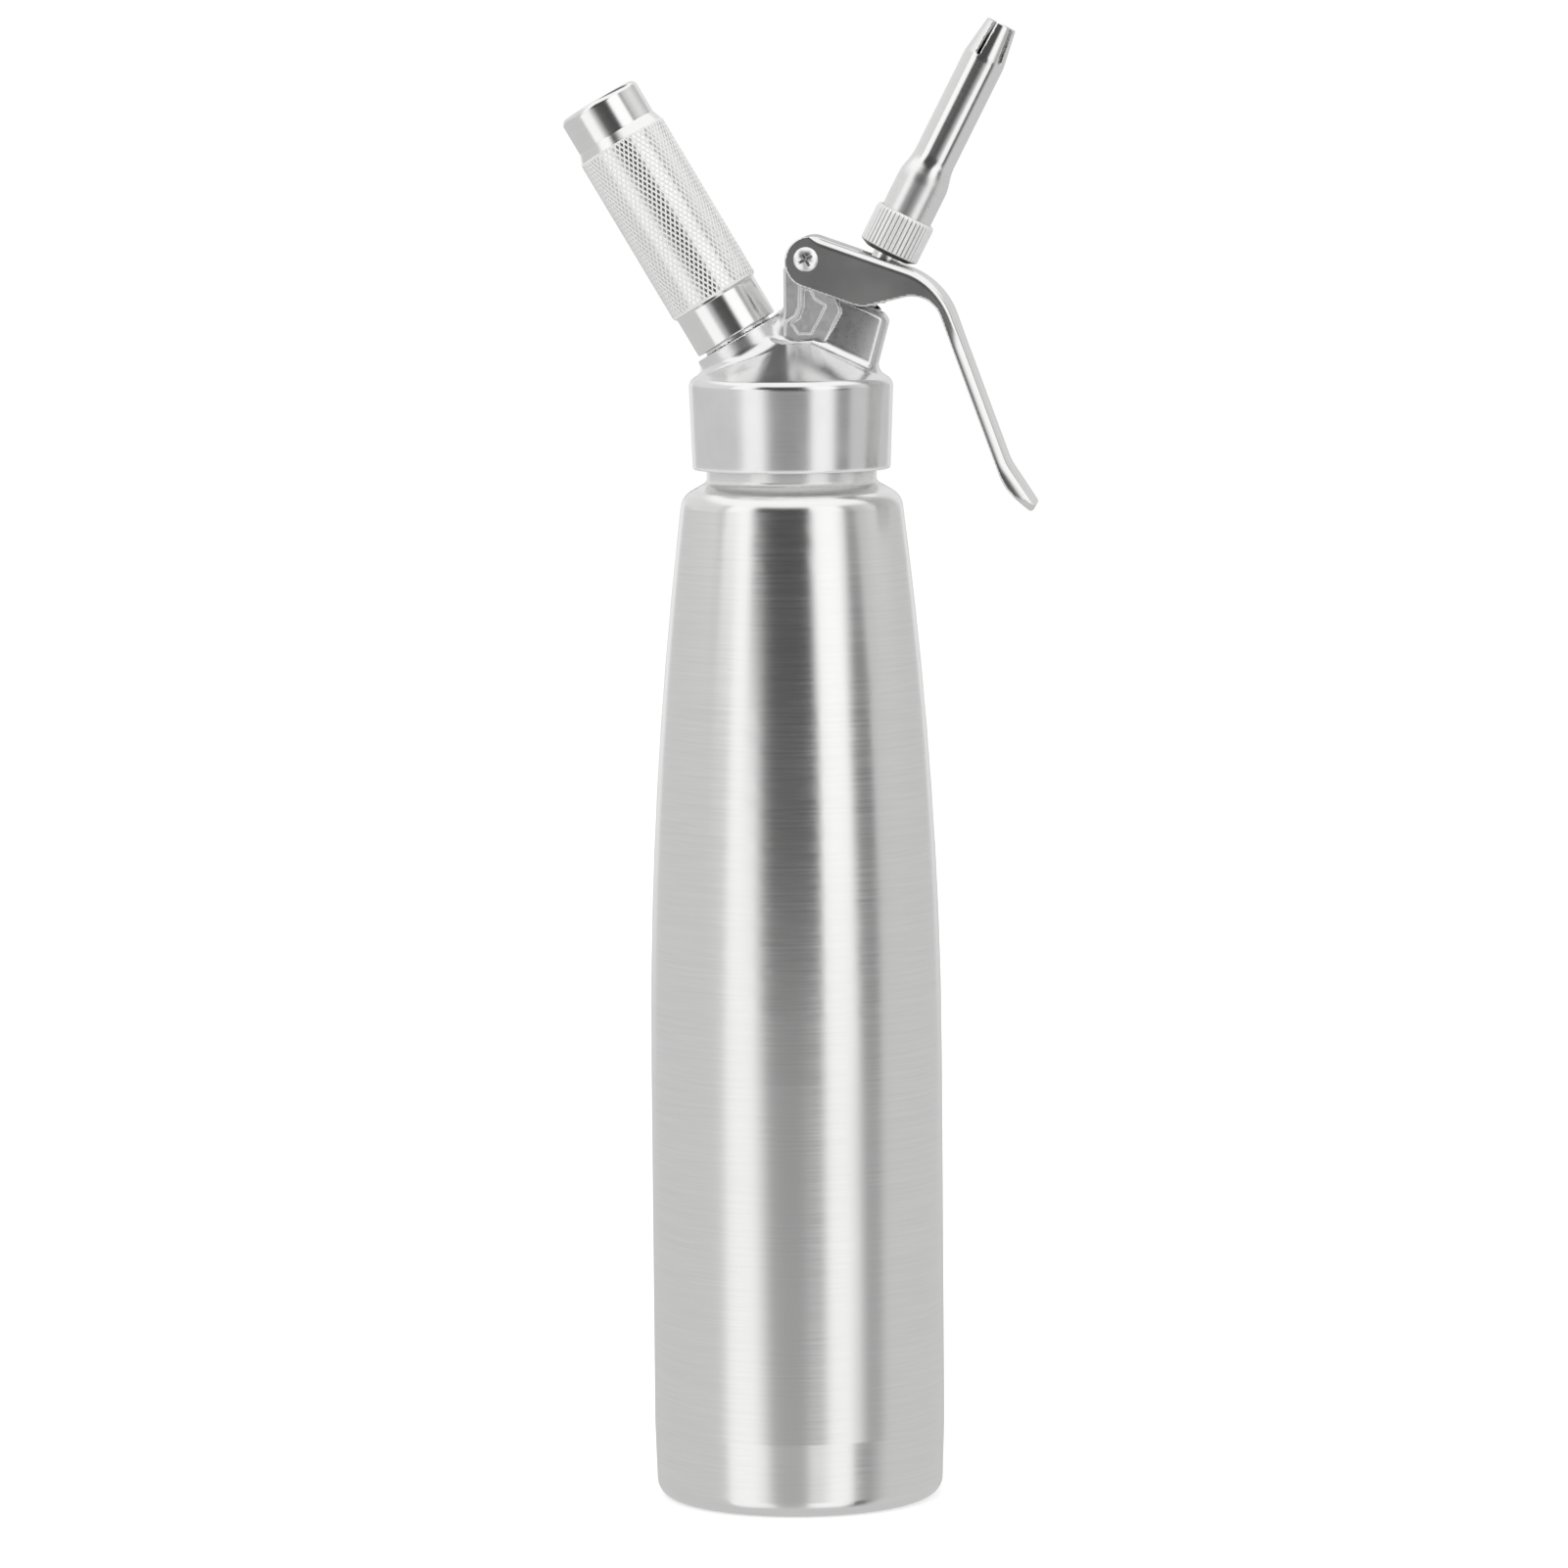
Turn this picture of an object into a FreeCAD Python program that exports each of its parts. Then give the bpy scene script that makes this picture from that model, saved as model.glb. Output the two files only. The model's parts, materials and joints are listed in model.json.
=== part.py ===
import FreeCAD
import Part
import Sketcher
import math
import os
import re

# A one-litre whipped cream dispenser. The frame is in millimetres, +Z up, with its origin in
# the middle of the foot ring. The nozzle and the lever stand on the +X side and the charger
# holder on the -X side. A "level" is a height above the foot. The charger pieces and the valve
# pieces are drawn along their own tilted axes, with zero at the face of their boss on the head.

DRIVING_SIZES = {
    # bottle, drawn from sheet
    "bottle_od": 78.0,
    "bottle_wall": 1.0,
    "foot_corner_od": 76.6,
    "foot_round": 4.5,
    "foot_ring_id": 58.0,
    "base_dish": 3.0,
    "skirt_level": 20.0,
    "straight_level": 116.0,
    "shoulder_od": 59.2,
    "shoulder_level": 266.5,
    "shoulder_round": 5.5,
    "shoulder_slope": 30.0,
    "neck_od": 45.2,
    "neck_wall": 1.6,
    "neck_root_round": 1.5,
    "rim_level": 293.0,
    "neck_pitch": 3.5,
    "neck_ridge": 0.9,
    "neck_thread_length": 9.0,
    # every thread: the gap over its crest, and its flank and crest as shares of the pitch
    "thread_gap": 0.15,
    "thread_sink": 0.2,
    "thread_flank": 0.22,
    "thread_crest": 0.2,
    # head casting and its gasket
    "collar_level": 276.4,
    "collar_low_od": 52.6,
    "collar_od": 54.4,
    "collar_top_level": 299.9,
    "collar_lip_round": 0.6,
    "collar_round": 2.2,
    "dome_slope": 32.0,
    "crown_od": 22.0,
    "gasket_gap": 0.65,
    "gasket_overhang": 0.3,
    "gasket_thickness": 2.0,
    "vault_step": 1.2,
    "vault_rise": 3.0,
    # charger boss, stud, pin and check valve
    "charger_x": -13.8,
    "charger_level": 311.35,
    "charger_tilt": 30.5,
    "charger_boss_od": 25.2,
    "charger_boss_root": 16.0,
    "stud_root_od": 19.2,
    "stud_ridge": 0.6,
    "stud_length": 9.0,
    "stud_pitch": 1.75,
    "stud_thread_length": 4.6,
    "recess_od": 9.6,
    "pin_base_od": 6.4,
    "pin_base_length": 5.0,
    "needle_od": 1.9,
    "needle_length": 3.2,
    "needle_point": 1.2,
    "gas_bore": 0.9,
    "gas_way_od": 2.0,
    "charger_seal_thickness": 2.0,
    "snug_gap": 0.02,
    "check_x": -10.0,
    "check_shank_od": 5.0,
    "check_shank_length": 4.0,
    "check_flange_od": 8.6,
    "check_flange": 1.4,
    "check_post_od": 4.4,
    "check_post_length": 5.0,
    "check_knob_od": 5.6,
    "check_knob": 1.0,
    "check_port": 1.2,
    "check_sleeve_wall": 0.8,
    # charger holder and gas charger
    "holder_gap": 1.0,
    "holder_length": 72.1,
    "holder_od": 23.4,
    "holder_foot_length": 11.0,
    "knurl_od": 25.0,
    "knurl_length": 48.6,
    "knurl_bevel": 0.7,
    "cap_bevel": 2.6,
    "holder_bevel": 0.5,
    "holder_cap_od": 22.6,
    "holder_cap_round": 1.6,
    "bulb_od": 17.9,
    "bulb_length": 66.0,
    "bulb_neck_od": 8.8,
    "bulb_neck_length": 8.4,
    "bulb_shoulder_length": 7.0,
    "bulb_wall": 1.4,
    "bulb_tip_round": 1.0,
    "bulb_neck_round": 2.0,
    "bulb_body_round": 4.0,
    "bulb_gap": 0.35,
    # valve boss and the valve in it
    "valve_x": 18.8,
    "valve_level": 319.4,
    "valve_tilt": 27.0,
    "valve_boss_od": 16.6,
    "valve_boss_flare": 12.0,
    "valve_boss_root": 18.0,
    "valve_boss_bevel": 1.1,
    "valve_boss_lip": 0.6,
    "valve_seat": 29.0,
    "seat_boss_od": 14.0,
    "chamber_od": 9.2,
    "chamber_length": 6.0,
    "stem_od": 7.2,
    "stem_bore": 4.6,
    "stem_top": 24.0,
    "stem_floor": 1.8,
    "stem_flange_od": 13.6,
    "stem_flange": 2.0,
    "stem_port": 3.0,
    "stem_port_rise": 0.5,
    "run_gap": 0.05,
    "valve_seal_thickness": 2.0,
    "valve_seal_od": 13.0,
    "spring_well_od": 12.0,
    "spring_well": 12.0,
    "ring_section": 1.76,
    "ring_gland": 2.0,
    "bush_length": 4.0,
    "spring_wire": 1.1,
    "spring_coil_od": 10.9,
    "spring_coils": 5.0,
    "thrust_nut_od": 14.0,
    "thrust_nut_level": 7.5,
    "thrust_dome": 12.0,
    # nozzle
    "nut_wall": 1.25,
    "nut_level": 15.5,
    "nut_height": 11.7,
    "nut_bevel": 0.8,
    "nut_foot_bevel": 2.4,
    "nut_ribs": 40,
    "rib_depth": 0.35,
    "rib_groove": 0.55,
    "tube_wide_od": 13.9,
    "tube_wide_top": 37.5,
    "tube_shoulder_top": 42.5,
    "tube_narrow_od": 11.4,
    "tube_wall": 0.9,
    "tube_shoulder_round": 12.0,
    "tube_taper_level": 73.0,
    "tip_od": 8.2,
    "tip_level": 83.3,
    "tip_slots": 5,
    "tip_slot_turn": 32.0,
    "tip_slot_width": 1.3,
    "tip_slot_length": 9.8,
    "nozzle_seal_thickness": 1.0,
    "nozzle_seal_od": 9.4,
    # lever, its post and its pivot
    "pivot_x": 4.9,
    "pivot_level": 332.25,
    "lever_width": 21.2,
    "lever_sheet": 1.8,
    "lever_end_radius": 6.85,
    "lever_end_ahead": 1.2,
    "lever_end_below": 0.75,
    "web_slope": 19.5,
    "web_reach": 34.3,
    "bend_round": 21.0,
    "handle_slope": 20.0,
    "handle_thickness": 3.6,
    "cheek_slope": 20.0,
    "belly_reach": 16.7,
    "belly_round": 8.5,
    "throat_rise": 4.4,
    "throat_round": 8.0,
    "handle_end_level": 278.0,
    "flare_reach": 7.1,
    "flare_drop": 11.0,
    "flare_round": 15.0,
    "heel_rise": 6.6,
    "lip_back": 1.4,
    "lip_drop": 2.1,
    "lip_round": 0.8,
    "lip_corner": 5.0,
    "channel_level": 315.5,
    "web_gap": 0.1,
    "web_slot_reach": 18.2,
    "web_slot_length": 10.4,
    "web_slot_width": 8.4,
    "post_gap": 0.2,
    "post_core_width": 15.0,
    "post_head_radius": 4.3,
    "post_back_round": 8.6,
    "post_back_x": -1.3,
    "post_back_level": 329.8,
    "post_foot_level": 303.0,
    "post_front_x": 9.6,
    "post_flare": 4.0,
    "lobe_front_x": 14.0,
    "lobe_front_level": 318.0,
    "lobe_foot_x": 10.4,
    "lobe_foot_level": 310.6,
    "lobe_back_x": 2.6,
    "lobe_round": 1.6,
    "sleeve_od": 5.8,
    "screw_od": 3.2,
    "screw_head_od": 6.6,
    "screw_head": 1.1,
    "screw_head_round": 0.45,
    "cross_width": 0.95,
    "cross_length": 3.8,
    "cross_depth": 0.7,
    "screw_tip_gap": 1.1,
    # how far a cut starts outside the metal it cuts
    "cut_margin": 10.0,
}

# Sizes that follow from the driving ones.
DERIVED_SIZES = {
    "bottle_r": "bottle_od / 2",
    "dish_radius": "(foot_ring_id ^ 2 / 4 + base_dish ^ 2) / (2 * base_dish)",
    "shoulder_r": "shoulder_od / 2",
    "neck_r": "neck_od / 2",
    "neck_bore_r": "neck_r - neck_wall",
    "taper_in": "bottle_r - shoulder_r",
    "taper_rise": "shoulder_level - straight_level",
    "taper_radius": "(taper_rise ^ 2 + taper_in ^ 2) / (2 * taper_in)",
    "taper_angle": "asin(taper_rise / taper_radius)",
    "turn_in": "cos(taper_angle) - sin(shoulder_slope)",
    "turn_up": "cos(shoulder_slope) - sin(taper_angle)",
    "shoulder_end_r": "shoulder_r - shoulder_round * turn_in",
    "shoulder_end_level": "shoulder_level + shoulder_round * turn_up",
    "neck_foot_level": "shoulder_end_level + (shoulder_end_r - neck_r) * tan(shoulder_slope)",
    "inner_round": "shoulder_round - bottle_wall",
    "inner_end_r": "shoulder_r - bottle_wall * cos(taper_angle) - inner_round * turn_in",
    "inner_end_level": "shoulder_level - bottle_wall * sin(taper_angle) + inner_round * turn_up",
    "inner_neck_level": "inner_end_level + (inner_end_r - neck_bore_r) * tan(shoulder_slope)",
    "neck_crest_r": "neck_r + neck_ridge",
    "collar_bore_r": "neck_crest_r + thread_gap",
    "gasket_r": "collar_bore_r - gasket_gap",
    "gasket_hole_r": "neck_bore_r - gasket_overhang",
    "vault_r": "gasket_hole_r - vault_step",
    "ceiling_level": "rim_level + gasket_thickness",
    "vault_level": "ceiling_level + vault_rise",
    "crown_level": "collar_top_level + (collar_od - crown_od) / 2 * tan(dome_slope)",
    "stud_crest_r": "stud_root_od / 2 + stud_ridge",
    "holder_bore_r": "stud_crest_r + thread_gap",
    "bulb_tip": "charger_seal_thickness",
    "bulb_neck_r": "bulb_neck_od / 2",
    "pierced_r": "needle_od / 2 + bulb_gap / 2",
    "holder_thread_end": "stud_length + stud_ridge + holder_gap",
    "bulb_r": "bulb_od / 2",
    "bulb_cap": "bulb_tip + bulb_length - bulb_r",
    "bulb_shoulder": "bulb_tip + bulb_neck_length",
    "bulb_body": "bulb_shoulder + bulb_shoulder_length",
    "bulb_room_r": "bulb_r + bulb_gap",
    "knurl_start": "holder_gap + holder_foot_length",
    "knurl_end": "knurl_start + knurl_length",
    "holder_end": "holder_gap + holder_length",
    "gas_turn": "(check_x - charger_x) / sin(charger_tilt)",
    "gas_turn_level": "charger_level - gas_turn * cos(charger_tilt)",
    "check_hole_top": "vault_level + check_shank_length",
    "check_foot": "vault_level - check_flange",
    "check_post_foot": "check_foot - check_post_length",
    "stem_r": "stem_od / 2",
    "guide_r": "stem_r + run_gap",
    "stem_foot": "0 - valve_seat - valve_seal_thickness - stem_flange",
    "gland_foot": "0 - spring_well - ring_gland",
    "bush_top": "bush_length - spring_well",
    "spring_length": "thrust_nut_level - bush_top",
    "web_offset": "lever_end_radius + lever_end_ahead * sin(web_slope)"
                  " - lever_end_below * cos(web_slope)",
    "web_under": "web_offset - lever_sheet",
    "dome_touch": "sqrt(thrust_dome ^ 2 - (web_slot_width / 2) ^ 2)",
    "dome_centre": "(web_under - dome_touch - (valve_x - pivot_x) * sin(web_slope)"
                   " + (pivot_level - valve_level) * cos(web_slope))"
                   " / cos(valve_tilt - web_slope) - web_gap",
    "dome_rim": "dome_centre + sqrt(thrust_dome ^ 2 - (thrust_nut_od / 2) ^ 2)",
    "dome_eye": "dome_centre + sqrt(thrust_dome ^ 2 - guide_r ^ 2)",
    "nut_od": "tube_wide_od + 2 * nut_wall",
    "nut_top": "nut_level + nut_height",
    "tube_foot": "stem_top + nozzle_seal_thickness",
    "tube_wide_r": "tube_wide_od / 2",
    "tube_narrow_r": "tube_narrow_od / 2",
    "tube_foot_r": "stem_bore / 2 + snug_gap",
    "cheek_gap": "lever_width - 2 * lever_sheet",
    "post_width": "cheek_gap - 2 * post_gap",
    "end_x": "pivot_x + lever_end_ahead",
    "end_level": "pivot_level - lever_end_below",
    "web_top_x": "end_x + lever_end_radius * sin(web_slope)",
    "web_top_level": "end_level + lever_end_radius * cos(web_slope)",
    "bend_x": "web_top_x + web_reach * cos(web_slope)",
    "bend_level": "web_top_level - web_reach * sin(web_slope)",
    "handle_out_x": "bend_x + (bend_level - handle_end_level) * tan(handle_slope)",
    "handle_in_x": "handle_out_x - handle_thickness / cos(handle_slope)",
    "heel_level": "handle_end_level - heel_rise",
    "heel_x": "handle_in_x + heel_rise * tan(handle_slope)",
    "lip_x": "handle_out_x + flare_reach",
    "lip_level": "handle_end_level - flare_drop",
    "lip_foot_level": "lip_level - lip_drop",
    "turn_share": "1 + cos(90 - web_slope - handle_slope)",
    "inner_bend_x": "bend_x - lever_sheet * (sin(web_slope) + cos(handle_slope)) / turn_share",
    "inner_bend_level": "bend_level"
                        " - lever_sheet * (cos(web_slope) + sin(handle_slope)) / turn_share",
    "channel_x": "inner_bend_x + (inner_bend_level - channel_level) * tan(handle_slope)",
    "belly_x": "cheek_foot_x + belly_reach * cos(cheek_slope)",
    "belly_level": "cheek_foot_level - belly_reach * sin(cheek_slope)",
    "cheek_foot_x": "end_x - lever_end_radius * sin(cheek_slope)",
    "cheek_foot_level": "end_level - lever_end_radius * cos(cheek_slope)",
    "throat_level": "belly_level + throat_rise",
    "throat_x": "handle_in_x - (throat_level - handle_end_level) * tan(handle_slope)",
    "cheek_out": "lever_width / 2",
}


def formula(text):
    """The same expression with derived sizes written out and sheet names given in full."""
    names = re.compile(r"[a-z_]+[a-z]")

    def expand(match):
        name = match.group(0)
        if name in DERIVED_SIZES:
            return "(" + names.sub(expand, DERIVED_SIZES[name]) + ")"
        if name in DRIVING_SIZES:
            return "Sizes." + name
        return name

    return names.sub(expand, str(text))


def make_sheet(document):
    sheet = document.addObject("Spreadsheet::Sheet", "Sizes")
    for row, (name, value) in enumerate(DRIVING_SIZES.items(), start=1):
        sheet.set("A%d" % row, name)
        sheet.set("B%d" % row, str(value))
        sheet.setAlias("B%d" % row, name)
    document.recompute()
    return sheet


doc = FreeCAD.newDocument("cream_dispenser")
sizes = make_sheet(doc)


def number(text):
    return float(sizes.evalExpression(formula(text)))


# ---------------------------------------------------------------- sketches


class Corner:
    """One corner of an outline: sharp, rounded, or the start of an arc to the next corner."""

    def __init__(self, x, y, rounded=None, arc=None, turn="left"):
        self.x = x
        self.y = y
        self.rounded = rounded
        self.arc = arc
        self.turn = turn

    def place(self):
        return FreeCAD.Vector(number(self.x), number(self.y), 0)


def sharp(x, y):
    return Corner(x, y)


def rounded(x, y, radius):
    return Corner(x, y, rounded=radius)


def arc_from(x, y, radius, turn="left"):
    return Corner(x, y, arc=radius, turn=turn)


def turn_offset(angle, x, y):
    return "placement(vector(%s; %s; 0); rotation(vector(0; 0; 1); %s))" % (x, y, angle)


CHARGER_AXIS = turn_offset("charger_tilt", "charger_x", "charger_level")
VALVE_AXIS = turn_offset("0 - valve_tilt", "valve_x", "valve_level")
CHECK_AXIS = turn_offset("0", "check_x", "0")


def new_sketch(body, name, role="XZ_Plane", seat=None):
    sketch = body.newObject("Sketcher::SketchObject", name)
    plane = [item for item in body.Origin.OriginFeatures if item.Role == role][0]
    sketch.AttachmentSupport = (plane, [""])
    sketch.MapMode = "FlatFace"
    if seat:
        sketch.setExpression("AttachmentOffset", formula(seat))
    return sketch


def bind(sketch, index, name, text):
    sketch.renameConstraint(index, name)
    sketch.setExpression("Constraints." + name, formula(text))


def fix_point(sketch, geometry, end, name, corner):
    place = corner.place()
    across = Sketcher.Constraint("DistanceX", -1, 1, geometry, end, place.x)
    bind(sketch, sketch.addConstraint(across), name + "_x", corner.x)
    along = Sketcher.Constraint("DistanceY", -1, 1, geometry, end, place.y)
    bind(sketch, sketch.addConstraint(along), name + "_y", corner.y)


def tangent_points(before, corner, after, radius):
    to_before = (before - corner).normalize()
    to_after = (after - corner).normalize()
    half_angle = to_before.getAngle(to_after) / 2
    setback = radius / math.tan(half_angle)
    middle = (to_before + to_after).normalize()
    crest = corner + middle * (radius / math.sin(half_angle) - radius)
    return corner + to_before * setback, crest, corner + to_after * setback


def arc_crest(start, end, radius, turn):
    chord = end - start
    side = FreeCAD.Vector(-chord.y, chord.x, 0).normalize()
    sagitta = radius - math.sqrt(radius ** 2 - (chord.Length / 2) ** 2)
    if turn == "left":
        sagitta = -sagitta
    return (start + end) * 0.5 + side * sagitta


def add_arc(sketch, start, crest, end):
    """The arc's index, and which of its two ends, 1 or 2, is its start and which its end."""
    if (crest - start).cross(end - crest).z > 0:
        return sketch.addGeometry(Part.Arc(start, crest, end)), 1, 2
    return sketch.addGeometry(Part.Arc(end, crest, start)), 2, 1


def draw_outline(sketch, corners):
    """A closed outline whose corners and radii are all bound to the sheet."""
    places = [corner.place() for corner in corners]
    count = len(corners)
    entries = []
    exits = []
    rounds = {}
    for i, corner in enumerate(corners):
        if corner.rounded:
            radius = number(corner.rounded)
            first, crest, last = tangent_points(places[i - 1], places[i],
                                                places[(i + 1) % count], radius)
            rounds[i] = add_arc(sketch, first, crest, last)
            entries.append(first)
            exits.append(last)
        else:
            entries.append(places[i])
            exits.append(places[i])
    sides = []
    for i, corner in enumerate(corners):
        start = exits[i]
        end = entries[(i + 1) % count]
        if corner.arc:
            crest = arc_crest(start, end, number(corner.arc), corner.turn)
            sides.append(add_arc(sketch, start, crest, end))
        else:
            line = sketch.addGeometry(Part.LineSegment(start, end))
            sides.append((line, 1, 2))
    for i, corner in enumerate(corners):
        arriving, _, arriving_end = sides[i - 1]
        leaving, leaving_start, _ = sides[i]
        name = "corner%d" % i
        if i in rounds:
            arc, arc_start, arc_end = rounds[i]
            sketch.addConstraint(Sketcher.Constraint(
                "Tangent", arriving, arriving_end, arc, arc_start))
            sketch.addConstraint(Sketcher.Constraint(
                "Tangent", arc, arc_end, leaving, leaving_start))
            point = sketch.addGeometry(Part.Point(places[i]), True)
            sketch.addConstraint(Sketcher.Constraint("PointOnObject", point, 1, arriving))
            sketch.addConstraint(Sketcher.Constraint("PointOnObject", point, 1, leaving))
            fix_point(sketch, point, 1, name, corner)
            radius = Sketcher.Constraint("Radius", arc, number(corner.rounded))
            bind(sketch, sketch.addConstraint(radius), name + "_round", corner.rounded)
        else:
            sketch.addConstraint(Sketcher.Constraint(
                "Coincident", arriving, arriving_end, leaving, leaving_start))
            fix_point(sketch, leaving, leaving_start, name, corner)
        if corner.arc:
            radius = Sketcher.Constraint("Radius", leaving, number(corner.arc))
            bind(sketch, sketch.addConstraint(radius), name + "_arc", corner.arc)


def draw_circle(sketch, x, y, radius):
    centre = Corner(x, y)
    size = number(radius)
    circle = sketch.addGeometry(Part.Circle(centre.place(), FreeCAD.Vector(0, 0, 1), size))
    fix_point(sketch, circle, 3, "centre", centre)
    bind(sketch, sketch.addConstraint(Sketcher.Constraint("Radius", circle, size)),
         "size", radius)


# ---------------------------------------------------------------- features


def new_body(label, seat=None):
    body = doc.addObject("PartDesign::Body", label)
    body.Label = label
    if seat:
        body.setExpression("Placement", formula(seat))
    return body


def tilted_seat(angle, x, level):
    return "placement(vector(%s; 0; %s); rotation(vector(0; 1; 0); %s))" % (x, level, angle)


CHARGER_SEAT = tilted_seat("0 - charger_tilt", "charger_x", "charger_level")
VALVE_SEAT = tilted_seat("valve_tilt", "valve_x", "valve_level")
CHECK_SEAT = "placement(vector(check_x; 0; 0); rotation(vector(0; 1; 0); 0))"


def volume_of(body):
    return body.Shape.Volume if body.Shape and not body.Shape.isNull() else 0.0


def finish_feature(body, feature, removes):
    """Recompute, and see that the feature really added or removed something."""
    before = volume_of(body)
    doc.recompute()
    after = volume_of(body)
    changed = before - after if removes else after - before
    if changed <= 0:
        raise RuntimeError("%s of %s changes nothing" % (feature.Label, body.Label))
    return feature


def turned(body, name, corners, seat=None, removes=False):
    """A solid of revolution, or a turned recess, about the sketch's vertical axis."""
    sketch = new_sketch(body, name + "_outline", seat=seat)
    draw_outline(sketch, corners)
    kind = "PartDesign::Groove" if removes else "PartDesign::Revolution"
    feature = body.newObject(kind, name)
    feature.Profile = sketch
    feature.ReferenceAxis = (sketch, ["V_Axis"])
    feature.Angle = 360
    return finish_feature(body, feature, removes)


def plate(body, name, corners, width, seat=None, removes=False, role="XZ_Plane"):
    """A slab, or a slot, of an outline, half its width to each side of its plane."""
    sketch = new_sketch(body, name + "_outline", role=role, seat=seat)
    draw_outline(sketch, corners)
    return extrude(body, name, sketch, width, removes)


def cross_bore(body, name, x, y, radius, width, seat=None, role="XZ_Plane", removes=True):
    sketch = new_sketch(body, name + "_outline", role=role, seat=seat)
    draw_circle(sketch, x, y, radius)
    return extrude(body, name, sketch, width, removes)


def extrude(body, name, sketch, width, removes):
    feature = body.newObject("PartDesign::Pocket" if removes else "PartDesign::Pad", name)
    feature.Profile = sketch
    feature.SideType = "Symmetric"
    feature.setExpression("Length", formula(width))
    return finish_feature(body, feature, removes)


def thread_ridge(body, name, root, ridge, pitch, start, length, seat=None):
    """A helical ridge of trapezium section on a turned surface."""
    sketch = new_sketch(body, name + "_outline", seat=seat)
    sunk = "(%s) - thread_sink" % root
    crest = "(%s) + (%s)" % (root, ridge)
    step = "(%s) + (%s)" % (start, pitch)
    draw_outline(sketch, [
        sharp(sunk, start),
        sharp(crest, step + " * thread_flank"),
        sharp(crest, step + " * (thread_flank + thread_crest)"),
        sharp(sunk, step + " * (2 * thread_flank + thread_crest)"),
    ])
    helix = body.newObject("PartDesign::AdditiveHelix", name)
    helix.Profile = sketch
    helix.ReferenceAxis = (sketch, ["V_Axis"])
    helix.Mode = "pitch-height-angle"
    helix.setExpression("Pitch", formula(pitch))
    helix.setExpression("Height", formula(length))
    return finish_feature(body, helix, False)


def around(body, name, feature, count):
    """Repeat a cut round its own sketch's upright axis."""
    pattern = body.newObject("PartDesign::PolarPattern", name)
    pattern.Originals = [feature]
    pattern.Axis = (feature.Profile[0], ["V_Axis"])
    pattern.Angle = 360
    pattern.setExpression("Occurrences", formula(count))
    body.Tip = pattern
    return finish_feature(body, pattern, True)


# ---------------------------------------------------------------- bottle and its gasket


def make_bottle():
    body = new_body("bottle")
    turned(body, "shell", [
        arc_from("0", "base_dish", "dish_radius", "right"),
        sharp("foot_ring_id / 2", "0"),
        rounded("foot_corner_od / 2", "0", "foot_round"),
        sharp("bottle_r", "skirt_level"),
        arc_from("bottle_r", "straight_level", "taper_radius"),
        arc_from("shoulder_r", "shoulder_level", "shoulder_round"),
        sharp("shoulder_end_r", "shoulder_end_level"),
        rounded("neck_r", "neck_foot_level", "neck_root_round"),
        sharp("neck_r", "rim_level"),
        sharp("neck_bore_r", "rim_level"),
        sharp("neck_bore_r", "inner_neck_level"),
        arc_from("inner_end_r", "inner_end_level", "inner_round", "right"),
        arc_from("shoulder_r - bottle_wall * cos(taper_angle)",
                 "shoulder_level - bottle_wall * sin(taper_angle)",
                 "taper_radius - bottle_wall", "right"),
        sharp("bottle_r - bottle_wall", "straight_level"),
        sharp("bottle_r - bottle_wall", "skirt_level"),
        rounded("foot_corner_od / 2 - bottle_wall", "bottle_wall",
                "foot_round - bottle_wall"),
        arc_from("foot_ring_id / 2", "bottle_wall", "dish_radius"),
        sharp("0", "base_dish + bottle_wall"),
    ])
    thread_ridge(body, "neck_thread", "neck_r", "neck_ridge", "neck_pitch",
                 "rim_level - neck_thread_length - neck_pitch", "neck_thread_length")
    return body


def ring(label, inner, outer, low, high, seat=None):
    body = new_body(label, seat)
    turned(body, "ring", [
        sharp(inner, low),
        sharp(outer, low),
        sharp(outer, high),
        sharp(inner, high),
    ])
    return body


# ---------------------------------------------------------------- head casting


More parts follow.
